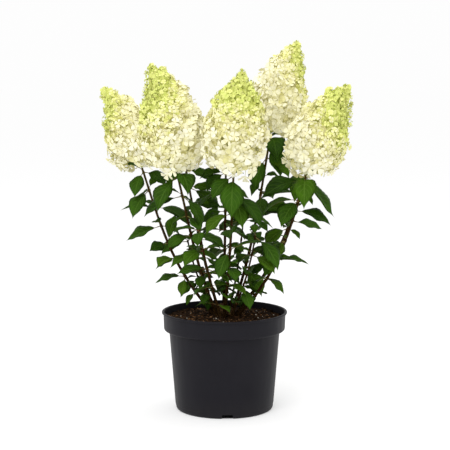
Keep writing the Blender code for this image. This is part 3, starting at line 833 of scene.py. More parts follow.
LEAF_TINTS = {  # blade, vein
    "leaf_deep": ((0.018, 0.052, 0.0022), (0.038, 0.088, 0.0080)),
    "leaf_mid": ((0.028, 0.077, 0.0034), (0.056, 0.124, 0.0120)),
    "leaf_bright": ((0.038, 0.096, 0.0030), (0.072, 0.148, 0.0140)),
    "leaf_young": ((0.048, 0.109, 0.0042), (0.086, 0.160, 0.0160)),
}
LEAF_UNDERSIDE = ((0.036, 0.076, 0.0090), (0.060, 0.108, 0.0170))
LONG_LEAF = 0.075
LONG_LEAF_TINTS = (4, 6, 2, 0)  # how often each of the four tints falls to a leaf
SHORT_LEAF_TINTS = (3, 5, 4, 2)
SIDE_LEAF_TINTS = (1, 4, 5, 3)
LEAF_SEED = 77
SIDE_LEAF_CHANCE = 0.46
SIDE_LEAF_LENGTH = (0.024, 0.046)
SIDE_LEAF_TURN = 0.7
SIDE_LEAF_HIGHER = 0.003
SIDE_LEAF_RISE = (25, 65)
SIDE_LEAF_BEND = (40, 75)
SIDE_LEAF_ROLL = 0.5
SIDE_STALK = 0.7


def leaf_plan(name):
    """Every leaf on a cane: its distance along it, azimuth, length, its slopes at the root and the tip, and
    how far the blade is turned about its midrib."""
    dice = random.Random("leaves " + name)
    turn = dice.uniform(0, math.pi)
    plan = []
    for pair, distance in enumerate(pair_distances(name)):
        height = min(1.0, (cane_paths[name].read(distance)[0].z - SOIL_TOP) / CROWN_DEPTH)
        for half in (0, 1):
            azimuth = turn + pair * math.pi / 2 + half * math.pi
            azimuth += dice.uniform(-AZIMUTH_VARIES, AZIMUTH_VARIES)
            length = LEAF_LENGTH_LOW + (LEAF_LENGTH_HIGH - LEAF_LENGTH_LOW) * height
            length *= dice.uniform(*LENGTH_VARIES) * (1.0 if name in BLOOMS else SHOOT_LEAF)
            rise = math.radians(dice.uniform(*RISE_AT_ROOT) - dice.uniform(*HIGH_LEAF_SAG) * height**2)
            droop = max(rise - math.radians(dice.uniform(*BEND)), STEEPEST_DROOP)
            roll = dice.uniform(-ROLL_VARIES, ROLL_VARIES)
            plan.append((distance, azimuth, length, rise, droop, roll))
    return plan


def midrib(root, azimuth, length, rise, droop, share):
    """The point and the frame (along, side, up) at a share of the way from a leaf's root to its tip."""
    outward = leaning(azimuth, math.pi / 2)
    bend = droop - rise
    slope = rise + bend * share
    out = length * (math.sin(slope) - math.sin(rise)) / bend
    high = length * (math.cos(rise) - math.cos(slope)) / bend
    along = outward * math.cos(slope) + UP * math.sin(slope)
    side = outward.cross(UP)
    return root + outward * out + UP * high, along, side, side.cross(along)


def blade_width(share):
    """Half the blade's width over its greatest: ovate on a rounded foot, drawn out to a fine tip."""
    return math.sin(math.pi * share**0.92) ** (1.10 + 0.8 * share**2) if 0 < share < 1 else 0.0


def leaf_finish(name, blade, vein, roughness, depth):
    """Leaf skin: a quilted blade between a midrib and curved side veins, drawn on the blade's own map."""
    mat, nt, shader = finish(name, blade, roughness, Specular_IOR_Level=0.055)
    across, along, _ = add(
        nt, "ShaderNodeSeparateXYZ", {0: add(nt, "ShaderNodeUVMap", uv_map="blade").outputs[0]}
    ).outputs

    def sums(operation, a, b=0.0, c=0.0):
        return add(nt, "ShaderNodeMath", {0: a, 1: b, 2: c}, operation=operation).outputs[0]

    aside = sums("ABSOLUTE", sums("MULTIPLY_ADD", across, 2.0, -1.0))
    climb = sums("MULTIPLY", sums("POWER", aside, 1.15), VEIN_SLANT)
    phase = sums("MULTIPLY", sums("SUBTRACT", along, climb), VEINS)
    near = sums("ABSOLUTE", sums("SUBTRACT", sums("FRACT", phase), 0.5))
    side_vein = graded(nt, near, 0.38, 0.5, 0.0, 0.9)
    rib = graded(nt, aside, 0.02, 0.09, 1.0, 0.0)
    lines = sums("MAXIMUM", side_vein, rib)
    patches = noisy(nt, 34.0, 3.0, 0.6)
    shade = graded(nt, patches, 0.32, 0.68, 0.72, 1.22)
    skin = add(nt, "ShaderNodeVectorMath", {0: blade, "Scale": shade}, operation="SCALE").outputs[0]
    nt.links.new(mixed(nt, lines, skin, vein), shader.inputs["Base Color"])
    quilt = sums("SUBTRACT", sums("MULTIPLY", sums("COSINE", sums("MULTIPLY", near, math.tau)), -0.35), lines)
    emboss(nt, shader, quilt, depth, 0.0012)
    sheen = graded(nt, patches, 0.3, 0.7, roughness - 0.06, roughness + 0.08)
    nt.links.new(sheen, shader.inputs["Roughness"])
    return mat


leaf_skins = [leaf_finish(name, *colours, 0.52, 0.45) for name, colours in LEAF_TINTS.items()]
underside = leaf_finish("leaf_underside", *LEAF_UNDERSIDE, 0.66, -0.45)


def add_blade(bm, uv_map, shape, roll, tint, dice):
    """One blade as a closed thin skin: a cambered top of four columns and a flatter underside of two."""
    root, azimuth, length, rise, droop = shape
    half = length * (1 - STALK) * BLADE_HALF
    phase = dice.uniform(0, math.tau)
    ripples = dice.uniform(*RIPPLES)
    cup = dice.uniform(*CUP)

    def spot_at(share, across, lift):
        centre, along, side, up = midrib(root, azimuth, length, rise, droop, STALK + (1 - STALK) * share)
        turn = Matrix.Rotation(-roll, 3, along)
        side, up = turn @ side, turn @ up
        wide = half * blade_width(share)
        rim = abs(across)
        if rim == 1:
            wide *= 1 + SERRATION * (-1) ** round(share * BLADE_ROWS) * dice.uniform(*TEETH_VARY)
        high = wide * math.tan(FOLD) * cup * (rim - RIM_EASES * rim**2)
        high += wide * CAMBER * math.sin(math.pi * rim)
        lag = SIDES_OUT_OF_STEP if across > 0 else 0.0
        wave = math.sin(math.tau * ripples * share + phase + lag)
        high += WAVE * wave * rim**2 * min(1.0, wide / FULL_WAVE_WIDTH)
        return centre + side * wide * across + up * (high + lift)

    def grid(columns, lift, rims=None):
        rows = []
        for row in range(1, BLADE_ROWS):
            share = row / BLADE_ROWS
            made = []
            for across in columns:
                if rims and abs(across) == 1:
                    made.append(rims[row - 1][0 if across < 0 else -1])
                else:
                    thin = lift * min(1.0, blade_width(share) * 2)
                    made.append(bm.verts.new(spot_at(share, across, thin)))
            rows.append(made)
        return rows

    foot = bm.verts.new(spot_at(0.0, 0.0, 0.0))
    tip = bm.verts.new(spot_at(1.0, 0.0, 0.0))
    above, below = (-1.0, -0.5, 0.0, 0.5, 1.0), (-1.0, 0.0, 1.0)
    top = grid(above, 0.0)
    base = grid(below, -BLADE_THICK, top)

    def skin(rows, columns, mat, flip):
        ends = [(foot,) * len(columns)] + [tuple(row) for row in rows] + [(tip,) * len(columns)]
        for level in range(len(ends) - 1):
            for column in range(len(columns) - 1):
                corners = [
                    (ends[level][column], columns[column], level),
                    (ends[level][column + 1], columns[column + 1], level),
                    (ends[level + 1][column + 1], columns[column + 1], level + 1),
                    (ends[level + 1][column], columns[column], level + 1),
                ]
                met = []
                for corner in corners:
                    if corner[0] not in [other[0] for other in met]:
                        met.append(corner)
                if flip:
                    met.reverse()
                face = bm.faces.new([corner[0] for corner in met])
                face.material_index = mat
                face.smooth = True
                for loop, corner in zip(face.loops, met):
                    loop[uv_map].uv = (0.5 + corner[1] / 2, corner[2] / BLADE_ROWS)

    skin(top, above, tint, False)
    skin(base, below, len(leaf_skins), True)


def stalk_line(shape, roll, thick):
    """A leaf's stalk, from inside its cane along the underside of its blade."""
    line = []
    for share in STALK_RINGS:
        centre, along, _, up = midrib(*shape, share)
        up = Matrix.Rotation(-roll, 3, along) @ up
        under = 0.0 if share <= STALK else BLADE_THICK
        taper = STALK_FLARE - STALK_THINS * share
        if share >= STALK:
            taper = RIB_THICK * (1 - (share - STALK) / RIB_RUN)
        line.append((centre - up * under, max(LEAST_RIB, thick * taper)))
    return line


SET_LEAVES = {  # leaves set one by one: azimuth, how far the tip reaches out and falls, bend, roll
    "left": {
        0: (200, 0.021, 0.028, 40, 0.5),
        1: (30, 0.035, 0.010, 50, -0.4),
        2: (180, 0.065, 0.016, 45, 0.3),
        3: (255, 0.025, 0.040, 40, 0.0),
        5: (180, 0.045, 0.021, 35, 0.3),
        6: (20, 0.019, -0.063, 20, -0.5),
        7: (225, 0.054, 0.012, 20, 0.8),
        8: (180, 0.074, 0.032, 15, 0.5),
        9: (35, 0.050, 0.030, 50, -0.5),
        10: (170, 0.076, 0.007, 40, 0.1),
        12: (120, 0.050, 0.030, 50, 0.5),
        13: (230, 0.051, 0.056, 45, 0.3),
        14: (330, 0.056, 0.028, 60, -0.5),
        15: (245, 0.039, 0.050, 60, 0.2),
    },
    "front_left": {
        1: (255, 0.035, 0.022, 45, 0.1),
        2: (265, 0.035, 0.028, 50, 0.0),
        4: (190, 0.054, 0.027, 50, 0.4),
        7: (205, 0.054, 0.026, 50, 0.6),
        8: (160, 0.034, 0.028, 55, 0.3),
        9: (310, 0.044, 0.032, 55, -0.2),
        10: (190, 0.080, 0.043, 40, 0.3),
        11: (335, 0.041, 0.066, 60, -0.2),
        12: (290, 0.064, 0.034, 120, 0.1),
        13: (220, 0.052, 0.070, 50, 0.3),
    },
    "back_left": {
        11: (345, 0.064, 0.002, 45, -0.8),
        12: (330, 0.056, 0.004, 50, -0.6),
        13: (345, 0.065, 0.055, 50, -0.6),
        14: (350, 0.058, 0.023, 50, -0.6),
        15: (220, 0.054, 0.029, 65, 0.5),
    },
    "front": {
        7: (235, 0.040, 0.056, 40, 0.3),
        12: (335, 0.061, 0.064, 55, -0.3),
        13: (300, 0.037, 0.064, 50, -0.3),
        14: (265, 0.051, 0.081, 60, 0.1),
        15: (210, 0.050, 0.045, 40, 0.9),
    },
    "back": {
        9: (200, 0.050, 0.020, 50, 0.5),
        11: (20, 0.055, 0.018, 50, -0.5),
        12: (210, 0.046, 0.039, 50, 0.5),
        13: (170, 0.058, 0.015, 50, 0.6),
    },
    "right": {
        1: (250, 0.030, 0.012, 40, 0.2),
        3: (345, 0.037, 0.032, 45, -0.4),
        4: (235, 0.045, 0.030, 50, 0.4),
        5: (5, 0.069, 0.011, 40, -0.2),
        6: (240, 0.053, 0.037, 50, 0.4),
        8: (10, 0.065, 0.019, 10, -0.5),
        9: (100, 0.045, 0.020, 50, 0.0),
        11: (235, 0.068, 0.050, 50, 0.4),
        12: (195, 0.092, 0.034, 40, 0.6),
        13: (265, 0.073, 0.053, 105, 0.0),
    },
    "back_right": {
        1: (200, 0.040, 0.025, 45, 0.3),
        4: (200, 0.050, 0.030, 50, 0.4),
        5: (355, 0.044, -0.014, 30, -0.3),
        6: (150, 0.050, 0.030, 50, 0.5),
        8: (350, 0.027, 0.023, 55, -0.5),
        9: (215, 0.060, 0.035, 50, 0.5),
        10: (185, 0.075, 0.012, 40, 0.3),
        11: (0, 0.079, 0.032, 50, -0.5),
        12: (180, 0.091, 0.016, 40, 0.2),
        13: (340, 0.028, 0.026, 50, -0.4),
        14: (0, 0.063, 0.093, -10, -0.4),
    },
    "tall": {
        0: (350, 0.040, 0.012, 50, -0.3),
        3: (310, 0.054, 0.054, 40, -0.3),
        12: (200, 0.028, 0.042, 40, 0.4),
        13: (20, 0.037, 0.002, 60, -0.5),
        14: (325, 0.057, 0.042, 60, -0.3),
        15: (230, 0.039, 0.068, 55, 0.2),
        16: (280, 0.069, 0.045, 110, -0.1),
        17: (310, 0.035, 0.080, 30, -0.3),
    },
    "shoot_front_left": {
        5: (170, 0.065, 0.012, 40, 0.5),
    },
    "shoot_front_right": {
        3: (290, 0.045, 0.038, 40, 0.0),
        6: (330, 0.054, 0.036, 50, -0.4),
        9: (340, 0.049, 0.067, 50, -0.5),
    },
    "shoot_back_left": {
        2: (200, 0.041, 0.039, 45, 0.5),
    },
}


def reaching(root, facing, reach, fall, bend):
    """A leaf's shape from where its tip is wanted: how far out from its root and how far below it."""
    half = math.radians(bend) / 2
    slope = -math.atan2(fall, reach)
    length = math.hypot(reach, fall) * half / math.sin(half)
    return root, math.radians(facing), length, slope + half, slope - half


stalk_lines = []
leaf_dice = random.Random(LEAF_SEED)
for name in CANES:
    cad_spots = frame["nodes"][f"foliage_{name}"].data.vertices
    tips = kdtree.KDTree(len(cad_spots))
    for index, vert in enumerate(cad_spots):
        tips.insert(vert.co, index)
    tips.balance()
    bm = bmesh.new()
    uv_map = bm.loops.layers.uv.new("blade")
    for number, (distance, azimuth, length, rise, droop, roll) in enumerate(leaf_plan(name)):
        root = cane_paths[name].read(distance)[0]
        shapes = [(root, azimuth + math.radians(turn), length * size, rise, droop) for turn, size in TRIES]
        shapes = [shape for shape in shapes if tips.find(midrib(*shape, 1.0)[0])[2] < ON_A_LEAF]
        if number in SET_LEAVES.get(name, {}):
            facing, reach, fall, bend, roll = SET_LEAVES[name][number]
            shapes = [reaching(root, facing, reach, fall, bend)]
        if shapes:
            weights = LONG_LEAF_TINTS if shapes[0][2] > LONG_LEAF else SHORT_LEAF_TINTS
            tint = leaf_dice.choices(range(len(leaf_skins)), weights)[0]
            add_blade(bm, uv_map, shapes[0], roll, tint, leaf_dice)
            stalk_lines.append(stalk_line(shapes[0], roll, STALK_RADIUS))
        if leaf_dice.random() < SIDE_LEAF_CHANCE:
            facing = azimuth + leaf_dice.uniform(-SIDE_LEAF_TURN, SIDE_LEAF_TURN)
            small = leaf_dice.uniform(*SIDE_LEAF_LENGTH)
            lift = math.radians(leaf_dice.uniform(*SIDE_LEAF_RISE))
            spot = min(distance + SIDE_LEAF_HIGHER, cane_paths[name].length)
            side_root = cane_paths[name].read(spot)[0]
            droop = lift - math.radians(leaf_dice.uniform(*SIDE_LEAF_BEND))
            shape = (side_root, facing, small, lift, droop)
            tint = leaf_dice.choices(range(len(leaf_skins)), SIDE_LEAF_TINTS)[0]
            side_roll = leaf_dice.uniform(-SIDE_LEAF_ROLL, SIDE_LEAF_ROLL)
            add_blade(bm, uv_map, shape, side_roll, tint, leaf_dice)
            stalk_lines.append(stalk_line(shape, side_roll, STALK_RADIUS * SIDE_STALK))
    leaves = placed(f"leaves_{name}", as_mesh(f"leaves_{name}", bm))
    for mat in leaf_skins + [underside]:
        leaves.data.materials.append(mat)
    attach(leaves, "root")
    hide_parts(f"foliage_{name}")

stalk_skin, nt, shader = finish("leaf_stalk", (0.15, 0.105, 0.03), 0.55, Specular_IOR_Level=0.12)
tone = two_tones(nt, noisy(nt, 55.0, 2.0), 0.38, (0.125, 0.055, 0.022), 0.60, (0.190, 0.175, 0.045))
nt.links.new(tone, shader.inputs["Base Color"])
stalks = grown(
    "leaf_stalks", drawn("stalk_guides", stalk_lines), flesh_out,
    {"Sides": 6, "Relief": 0.0, "Fineness": 100.0, "Stretch": 1.0, "Finish": stalk_skin},
)
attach(stalks, "root")

# ---- The blooms ----
# Cones of many small domed clusters round one stem. Each cluster carries florets of four papery petals and a
# few closed buds. The florets are full and cream low down, smaller and lime higher up, and tiny at the tip.

BLOOM_START = 0.012
TAPER_POWER = {  # the greater, the longer a bloom stays broad below its tip
    "left": 2.2,
    "front_left": 2.6,
    "back_left": 3.1,
    "front": 2.8,
    "back": 3.1,
    "tall": 2.8,
    "right": 2.4,
    "back_right": 3.1,
}
SKIRT = 0.45
SKIRT_REACH = {  # how far up its foot a bloom is drawn in
    "left": 0.09,
    "front_left": 0.10,
    "back_left": 0.09,
    "front": 0.14,
    "back": 0.09,
    "tall": 0.09,
    "right": 0.24,
    "back_right": 0.09,
}
CLUSTER_SPACING = (0.0300, 0.0128)  # each pair is at a bloom's foot and at its tip
CLUSTER_REACH = (0.0195, 0.0054)
CLUSTER_COUNT = (5, 10)
CLUSTER_INWARD = 0.06
CLUSTER_OUTWARD = 0.05
SKIRT_INWARD = 0.16
SKIRT_HANGS = 0.010
SKIRT_LIFTS = 0.016
DOME_SUNK = (0.72, 1.30)
KNOB_SINKS = 0.006
KNOB_STANDS = 0.0105
OUTER_FULLNESS = 0.005
FLORET_WANDERS = (0.48, 0.80)
FLORET_SIZE = (0.0148, 0.0024)
SMALL_FLORET = 0.0066
TINY_FLORET = 0.0036
CLUSTER_SPREAD = (math.radians(74), math.radians(130))
OUTER_YOUTH = 0.23
LATE_BLOOMS = {"front": 0.08, "right": 0.09}  # greener than the rest
OLD_BELOW = 0.42
DRAPE = 0.35
FILL_DEPTH = (0.88, 0.80)
FILL_SPACING = 0.0118
FILL_CHANCE = (0.45, 1.0)
FILL_SIZE = 0.0125
BUDS = 5
BUD_SCATTER = 0.9
BUD_STANDS = (0.55, 0.92)
BUD_SIZE = (0.0008, 0.0014)
BUD_STALK = 0.0003
GOLDEN_TURN = math.pi * (3 - math.sqrt(5))
SPIRAL_VARIES = 0.2
SPIRAL_END = 0.985
LEAST_GIRTH = 0.006
STEM_STEPS = 24
STEM_REACH = 0.98
STEM_THINS = 0.8
SKIRT_FADES = 0.10
SKIRT_DROOPS = 0.40
TOP_CLIMBS = 0.95
CLUSTER_DIPS = 0.08
CLUSTER_NODS = 0.15
DOME_VARIES = (0.85, 1.12)
BRANCH_RADII = (0.0011, 0.0008, 0.0006)
PEDICEL_RADII = (0.00045, 0.00040, 0.00035)
SIDEWARD_BLOOM = 0.1  # a bloom whose tip lies farther out is fuller and greener on its outer side
SIZE_POWER = 1.25
FLORET_STANDS = (0.78, 1.10)
FLORET_VARIES = (0.84, 1.12)
OWN_WAY, CLUSTER_WAY = 0.8, 0.35  # how much a floret faces its own way, and how much its cluster's
SUNK_TILT = 1.0
SUNK_NEAR = 0.86
FILL_INSET = 0.002
FILL_WANDERS = 0.6
FILL_VARIES = (0.9, 1.05)
FILL_SHRINKS = 0.45
LIME_FILL = 0.62
PETAL_ROWS = ((0.05, 0.05), (0.30, 0.23), (0.60, 0.42), (0.86, 0.43), (1.0, 0.22))  # reach, half width
SMALL_PETAL_ROWS = ((0.06, 0.08), (0.48, 0.46), (0.86, 0.44), (1.0, 0.20))
FILL_PETAL_ROWS = ((0.04, 0.10), (0.60, 0.55), (1.0, 0.30))
OLD_FORMS, FLORET_FORMS, SMALL_FORMS = 4, 8, 4
FULL_SEED, SMALL_SEED, FILL_SEED = 300, 340, 371
FLORET_CUP = (-0.05, 0.45)
PETAL_TURN = 0.13
PETAL_SIZE = (0.86, 1.04)
PETAL_BREADTH = (0.92, 1.14)
PETAL_RISE = 0.13
PETAL_CURL = (-0.34, 0.04)
PETAL_TWIST = 0.16
PETAL_TROUGH = 0.16
PETAL_CORNER = 0.93
PETAL_OVERLAP = 0.035
BEAD_RADIUS, BEAD_FOOT, BEAD_TOP = 0.09, 0.02, 0.13
BUD_TALL = 1.25
PETAL_TINTS = {  # from the oldest florets to the youngest, then the painted shade of those deep in the bloom, then the buds
    "petal_white": (0.812, 0.788, 0.610),
    "petal_milk": (0.798, 0.768, 0.545),
    "petal_cream": (0.780, 0.746, 0.475),
    "petal_ivory": (0.760, 0.730, 0.405),
    "petal_butter": (0.745, 0.724, 0.360),
    "petal_lemon": (0.725, 0.722, 0.270),
    "petal_pale_lime": (0.660, 0.682, 0.228),
    "petal_lime": (0.606, 0.648, 0.182),
    "petal_green": (0.540, 0.598, 0.150),
    "petal_shade": (0.700, 0.665, 0.340),
    "petal_lime_shade": (0.590, 0.620, 0.185),
    "flower_bud": (0.640, 0.600, 0.240),
}
YOUNGEST = 6  # the youngest tint of a whole floret: its heart is up to two steps greener
TINT_AT = ((0.0, 0.6), (0.25, 0.6), (0.46, 1.2), (0.58, 2.6), (0.70, 4.2), (0.84, 5.4), (1.3, 6.6))
TINT_VARIES = 0.9
# painted shade: florets sunk in a cluster step towards the darker, yellower tints
SUNK_PAINTED_SHADE = 0.8
PAINTED_PETAL_GLOW = {  # painted glow: an emission standing in for the daylight that comes through thin petals from behind
    "petal_lemon": 0.14,
    "petal_pale_lime": 0.16,
    "petal_lime": 0.16,
    "petal_green": 0.16,
    "petal_shade": 0.14,
    "petal_lime_shade": 0.16,
}
# the painted glow of every other petal tint
LEAST_PAINTED_GLOW = 0.10
PETAL_GRAIN = 620.0
TINT = {name: index for index, name in enumerate(PETAL_TINTS)}


def between(pair, share):
    """The value at a share of the way from a pair's first to its second."""
    return pair[0] + (pair[1] - pair[0]) * share


def bloom_radius(name, share):
    """A bloom's outline round its axis: a rounded skirt, a long shoulder and a blunt point."""
    radius = BLOOMS[name][3] * (1 - share ** TAPER_POWER[name])
    return radius * (1 - SKIRT * math.exp(-share / SKIRT_REACH[name]))


def floret_form(name, seed, petal_rows, heart):
    """A floret of unit radius that faces +Z: four broad petals of a few faces each round a small bead."""
    dice = random.Random(seed)
    cup = dice.uniform(*FLORET_CUP)
    bm = bmesh.new()
    greener = bm.faces.layers.int.new("greener")
    for petal in range(4):
        around = petal * math.pi / 2 + dice.uniform(-PETAL_TURN, PETAL_TURN)
        turn = Matrix.Rotation(around, 3, "Z")
        size = dice.uniform(*PETAL_SIZE)
        broad = size * dice.uniform(*PETAL_BREADTH)
        rise = cup + dice.uniform(-PETAL_RISE, PETAL_RISE)
        curl = dice.uniform(*PETAL_CURL)
        twist = dice.uniform(-PETAL_TWIST, PETAL_TWIST)
        rows = []
        for reach, half in petal_rows:
            row = []
            for column in (-1, 0, 1):
                x = reach * size * (PETAL_CORNER if column and reach > 0.95 else 1.0)
                y = half * broad * column
                z = rise * reach + curl * reach**3 + PETAL_TROUGH * half * abs(column) + twist * y
                z += PETAL_OVERLAP * (petal % 2)
                row.append(bm.verts.new(turn @ Vector((x, y, z))))
            rows.append(row)
        for band, (low, high) in enumerate(zip(rows, rows[1:])):
            for column in (0, 1):
                face = bm.faces.new((low[column], high[column], high[column + 1], low[column + 1]))
                face.smooth = True
                face[greener] = max(0, heart - band)
    if heart:
        ring = [
            bm.verts.new((BEAD_RADIUS * math.cos(a), BEAD_RADIUS * math.sin(a), BEAD_FOOT))
            for a in (0, 1.57, 3.14, 4.71)
        ]
        top = bm.verts.new((0.0, 0.0, BEAD_TOP))
        for corner in range(4):
            face = bm.faces.new((ring[corner], ring[(corner + 1) % 4], top))
            face.smooth = True
            face[greener] = heart
    return bpy.data.objects.new(name, as_mesh(name, bm))


def bud_form(name):
    """A closed flower bud of unit radius, a little pointed."""
    bm = bmesh.new()
    bm.faces.layers.int.new("greener")
    bmesh.ops.create_uvsphere(bm, u_segments=5, v_segments=4, radius=1.0)
    for vert in bm.verts:
        vert.co.z *= BUD_TALL
    for face in bm.faces:
        face.smooth = True
    return bpy.data.objects.new(name, as_mesh(name, bm))


# Every petal tint glows a little: painted light, an emission standing in for daylight through the petals
petal_skins = []
for name, colour in PETAL_TINTS.items():
    glow = PAINTED_PETAL_GLOW.get(name, LEAST_PAINTED_GLOW)
    skin, nt, shader = finish(
        name, colour, 0.65, Specular_IOR_Level=0.15, Emission_Color=(*colour, 1.0), Emission_Strength=glow
    )
    emboss(nt, shader, noisy(nt, PETAL_GRAIN, 2.0), 0.3, 0.0006)
    petal_skins.append(skin)

forms = bpy.data.collections.new("floret_forms")
scene.collection.children.link(forms)
for number in range(FLORET_FORMS):
    heart = 1 if number < OLD_FORMS else 2
    forms.objects.link(floret_form(f"form_{number:02d}_full", FULL_SEED + number, PETAL_ROWS, heart))
for number in range(SMALL_FORMS):
    name = f"form_{FLORET_FORMS + number:02d}_small"
    forms.objects.link(floret_form(name, SMALL_SEED + number, SMALL_PETAL_ROWS, 2))
FILL_FORM = FLORET_FORMS + SMALL_FORMS
forms.objects.link(floret_form(f"form_{FILL_FORM:02d}_fill", FILL_SEED, FILL_PETAL_ROWS, 0))
forms.objects.link(bud_form(f"form_{FILL_FORM + 1:02d}_bud"))

set_florets, given = new_tree(
    "set_florets", Forms="Collection", **{f"Petal_{index}": "Material" for index in range(len(petal_skins))}
)
kinds = add(
    set_florets, "GeometryNodeCollectionInfo",
    {"Collection": given["Forms"], "Separate Children": True, "Reset Children": True},
)


def carried(tree, label, kind):
    """What a spot or a face says about its floret under a label."""
    return add(tree, "GeometryNodeInputNamedAttribute", {"Name": label}, data_type=kind).outputs["Attribute"]


facing = add(set_florets, "FunctionNodeEulerToRotation", {0: carried(set_florets, "facing", "FLOAT_VECTOR")})
standing = add(
    set_florets, "GeometryNodeInstanceOnPoints",
    {
        "Points": given["Geometry"],
        "Instance": kinds.outputs[0],
        "Pick Instance": True,
        "Instance Index": carried(set_florets, "form", "INT"),
        "Rotation": facing.outputs[0],
        "Scale": carried(set_florets, "size", "FLOAT"),
    },
)
result = add(set_florets, "GeometryNodeRealizeInstances", {0: standing.outputs[0]}).outputs[0]
tint_here = add(
    set_florets, "ShaderNodeMath",
    {0: carried(set_florets, "tint", "INT"), 1: carried(set_florets, "greener", "INT")}, operation="ADD",
).outputs[0]
for index in range(len(petal_skins)):
    of_tint = add(
        set_florets, "FunctionNodeCompare", {2: tint_here, 3: index},
        data_type="INT", operation="EQUAL",
    )
    result = add(
        set_florets, "GeometryNodeSetMaterial",
        {"Geometry": result, "Selection": of_tint.outputs[0], "Material": given[f"Petal {index}"]},
    ).outputs[0]
add(set_florets, "NodeGroupOutput", {0: result})


def petal_tint(youth, sunk, dice):
    """The tint of a floret from how young it is, with painted shade for how deep in its cluster it sits, 0 to
    2.
    """
    tint = TINT_AT[-1][1]
    for (low, low_tint), (high, high_tint) in zip(TINT_AT, TINT_AT[1:]):
        if youth < high:
            tint = between((low_tint, high_tint), max(0.0, youth - low) / (high - low))
            break
    tint = round(tint + dice.uniform(-TINT_VARIES, TINT_VARIES) + SUNK_PAINTED_SHADE * sunk)
    return max(0, min(YOUNGEST, tint))


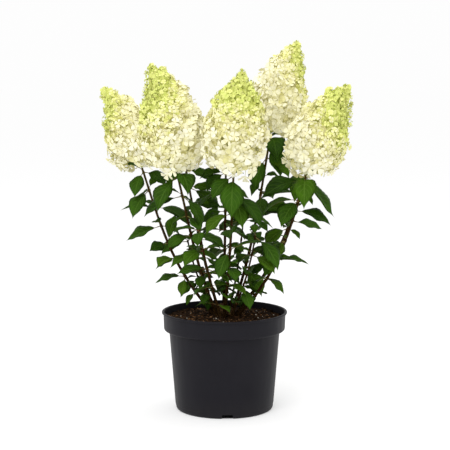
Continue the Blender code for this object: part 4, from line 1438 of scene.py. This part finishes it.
def bloom_plan(name):
    """A bloom's florets as (place, facing, size, tint, spin, form), and its stem's and branches' lines."""
    path = bloom_paths[name]
    dice = random.Random("scene bloom " + name)
    reach = path.length - BLOOM_START
    tip = Vector(BLOOMS[name][:3])
    outer = Vector((tip.x, tip.y, 0.0)).normalized() if abs(tip.x) > SIDEWARD_BLOOM else Vector((0, 0, 0))
    florets, lines = [], []

    def any_way(most):
        return Vector([dice.uniform(-most, most) for _ in range(3)])

    def spiral(spacing_at):
        """Evenly spread places on a bloom's outline: a level, a point of the axis and the way out."""
        share, number = 0.0, dice.randrange(1000)
        while True:
            spacing = spacing_at(share)
            around = math.tau * max(LEAST_GIRTH, bloom_radius(name, share))
            share += spacing**2 / (around * reach)
            if share > SPIRAL_END:
                return
            number += 1
            axis, along = path.read(BLOOM_START + reach * share)
            side = along.orthogonal().normalized()
            turn = number * GOLDEN_TURN + dice.uniform(-SPIRAL_VARIES, SPIRAL_VARIES)
            side.rotate(Matrix.Rotation(turn, 3, along))
            yield share, number, axis, along, side

    stem = []
    for step in range(STEM_STEPS + 1):
        point = path.read(path.length * STEM_REACH * step / STEM_STEPS)[0]
        stem.append((point, CANE_TOP_RADIUS * (1 - STEM_THINS * step / STEM_STEPS)))
    lines.append(stem)
    for level, number, axis, along, side in spiral(lambda share: between(CLUSTER_SPACING, share)):
        hang = math.exp(-level / SKIRT_FADES)
        lift = TOP_CLIMBS * level - SKIRT_DROOPS * hang - CLUSTER_DIPS
        lift += dice.uniform(-CLUSTER_NODS, CLUSTER_NODS)
        outward = (side + along * lift).normalized()
        dome = between(CLUSTER_REACH, level) * dice.uniform(*DOME_VARIES)
        radius = max(0.001, bloom_radius(name, level) - dome * between(DOME_SUNK, level))
        radius *= dice.uniform(1 - CLUSTER_INWARD - SKIRT_INWARD * hang, 1 + CLUSTER_OUTWARD)
        radius += level * dice.uniform(-KNOB_SINKS, KNOB_STANDS)
        radius += OUTER_FULLNESS * max(0.0, side.dot(outer)) * min(1.0, 3.0 * level)
        heart = axis + side * radius + along * hang * dice.uniform(-SKIRT_HANGS, SKIRT_LIFTS)
        youth = level + OUTER_YOUTH * side.dot(outer) + LATE_BLOOMS.get(name, 0.0)
        size = between(FLORET_SIZE, min(1.0, max(0.0, youth)) ** SIZE_POWER)
        branch = path.read(max(0.0, BLOOM_START + reach * level - 0.6 * radius))[0]
        lines.append([
            (branch, BRANCH_RADII[0] * (1 - 0.5 * level)),
            (branch.lerp(heart, 0.6) + along * radius * 0.06, BRANCH_RADII[1] * (1 - 0.4 * level)),
            (heart, BRANCH_RADII[2]),
        ])
        count = round(between(CLUSTER_COUNT, max(0.0, min(1.0, youth))))
        spread = between(CLUSTER_SPREAD, level)
        for index in range(count):
            tilt = math.acos(1 - (index + 0.5) / count * (1 - math.cos(spread)))
            way = outward.copy()
            way.rotate(Matrix.Rotation(tilt, 3, outward.orthogonal().normalized()))
            turn = number * 1.3 + index * GOLDEN_TURN + dice.uniform(-0.3, 0.3)
            way.rotate(Matrix.Rotation(turn, 3, outward))
            far = dome * dice.uniform(*FLORET_STANDS)
            place = heart + way * far
            look = way * OWN_WAY + outward * CLUSTER_WAY + any_way(between(FLORET_WANDERS, level))
            look = (look - UP * DRAPE * (1 - level)).normalized()
            # how deep a floret sits, for the painted shade of its tint
            sunk = (tilt > SUNK_TILT) + (far < SUNK_NEAR * dome)
            form = dice.randrange(OLD_FORMS) + (OLD_FORMS if youth > OLD_BELOW else 0)
            if size < SMALL_FLORET:
                form = FLORET_FORMS + dice.randrange(SMALL_FORMS)
            tint = petal_tint(youth, sunk, dice)
            if size < TINY_FLORET:
                form = FILL_FORM
                tint += dice.randrange(3)
            wide = size * dice.uniform(*FLORET_VARIES)
            florets.append((place, look, wide, tint, dice.uniform(0, math.tau), form))
            lines.append(list(zip((heart, heart + way * far * 0.5, place), PEDICEL_RADII)))
        for _ in range(BUDS):
            way = (outward + any_way(BUD_SCATTER)).normalized()
            place = heart + way * dome * dice.uniform(*BUD_STANDS)
            florets.append((place, way, dice.uniform(*BUD_SIZE), TINT["flower_bud"], 0.0, FILL_FORM + 1))
            lines.append([(heart, BUD_STALK), (place, BUD_STALK)])
    for level, _, axis, along, side in spiral(lambda share: FILL_SPACING):
        radius = max(0.0, bloom_radius(name, level) * between(FILL_DEPTH, level**2) - FILL_INSET)
        youth = level + OUTER_YOUTH * side.dot(outer) + LATE_BLOOMS.get(name, 0.0)
        look = (side + along * (0.8 * level - 0.3) + any_way(FILL_WANDERS)).normalized()
        if dice.random() > between(FILL_CHANCE, min(1.0, 2.5 * level)):
            continue
        place = axis + side * radius * dice.uniform(*FILL_VARIES)
        wide = FILL_SIZE * (1 - FILL_SHRINKS * level)
        # the fill florets deep in the bloom take the painted shade tints
        tint = TINT["petal_shade" if youth < LIME_FILL else "petal_lime_shade"]
        florets.append((place, look, wide, tint, dice.uniform(0, math.tau), FILL_FORM))
    return florets, lines


pedicel_skin, nt, shader = finish("bloom_branch", (0.20, 0.23, 0.06), 0.6)
tone = two_tones(nt, noisy(nt, 60.0, 2.0), 0.38, (0.400, 0.430, 0.070), 0.62, (0.600, 0.640, 0.150))
nt.links.new(tone, shader.inputs["Base Color"])

for name in BLOOMS:
    florets, lines = bloom_plan(name)
    mesh = bpy.data.meshes.new("floret_spots")
    mesh.from_pydata([floret[0] for floret in florets], [], [])
    turns = [
        (look.to_track_quat("Z", "Y") @ Quaternion((0, 0, 1), spin)).to_euler()
        for _, look, _, _, spin, _ in florets
    ]
    notes = (  # what every spot carries for its floret
        ("facing", "FLOAT_VECTOR", "vector", [angle for turn in turns for angle in turn]),
        ("size", "FLOAT", "value", [floret[2] for floret in florets]),
        ("tint", "INT", "value", [floret[3] for floret in florets]),
        ("form", "INT", "value", [floret[5] for floret in florets]),
    )
    for label, kind, field, values in notes:
        mesh.attributes.new(label, kind, "POINT").data.foreach_set(field, values)
    settings = {"Forms": forms, **{f"Petal {index}": mat for index, mat in enumerate(petal_skins)}}
    bloom = grown(f"florets_{name}", placed("floret_spots", mesh), set_florets, settings)
    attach(bloom, "root")
    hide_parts(f"bloom_{name}")
    branches = grown(
        f"bloom_branches_{name}", drawn("branch_guides", lines), flesh_out,
        {"Sides": 4, "Relief": 0.0, "Fineness": 100.0, "Stretch": 1.0, "Finish": pedicel_skin},
    )
    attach(branches, "root")

for form in list(forms.objects):
    bpy.data.objects.remove(form, do_unlink=True)
bpy.data.collections.remove(forms)
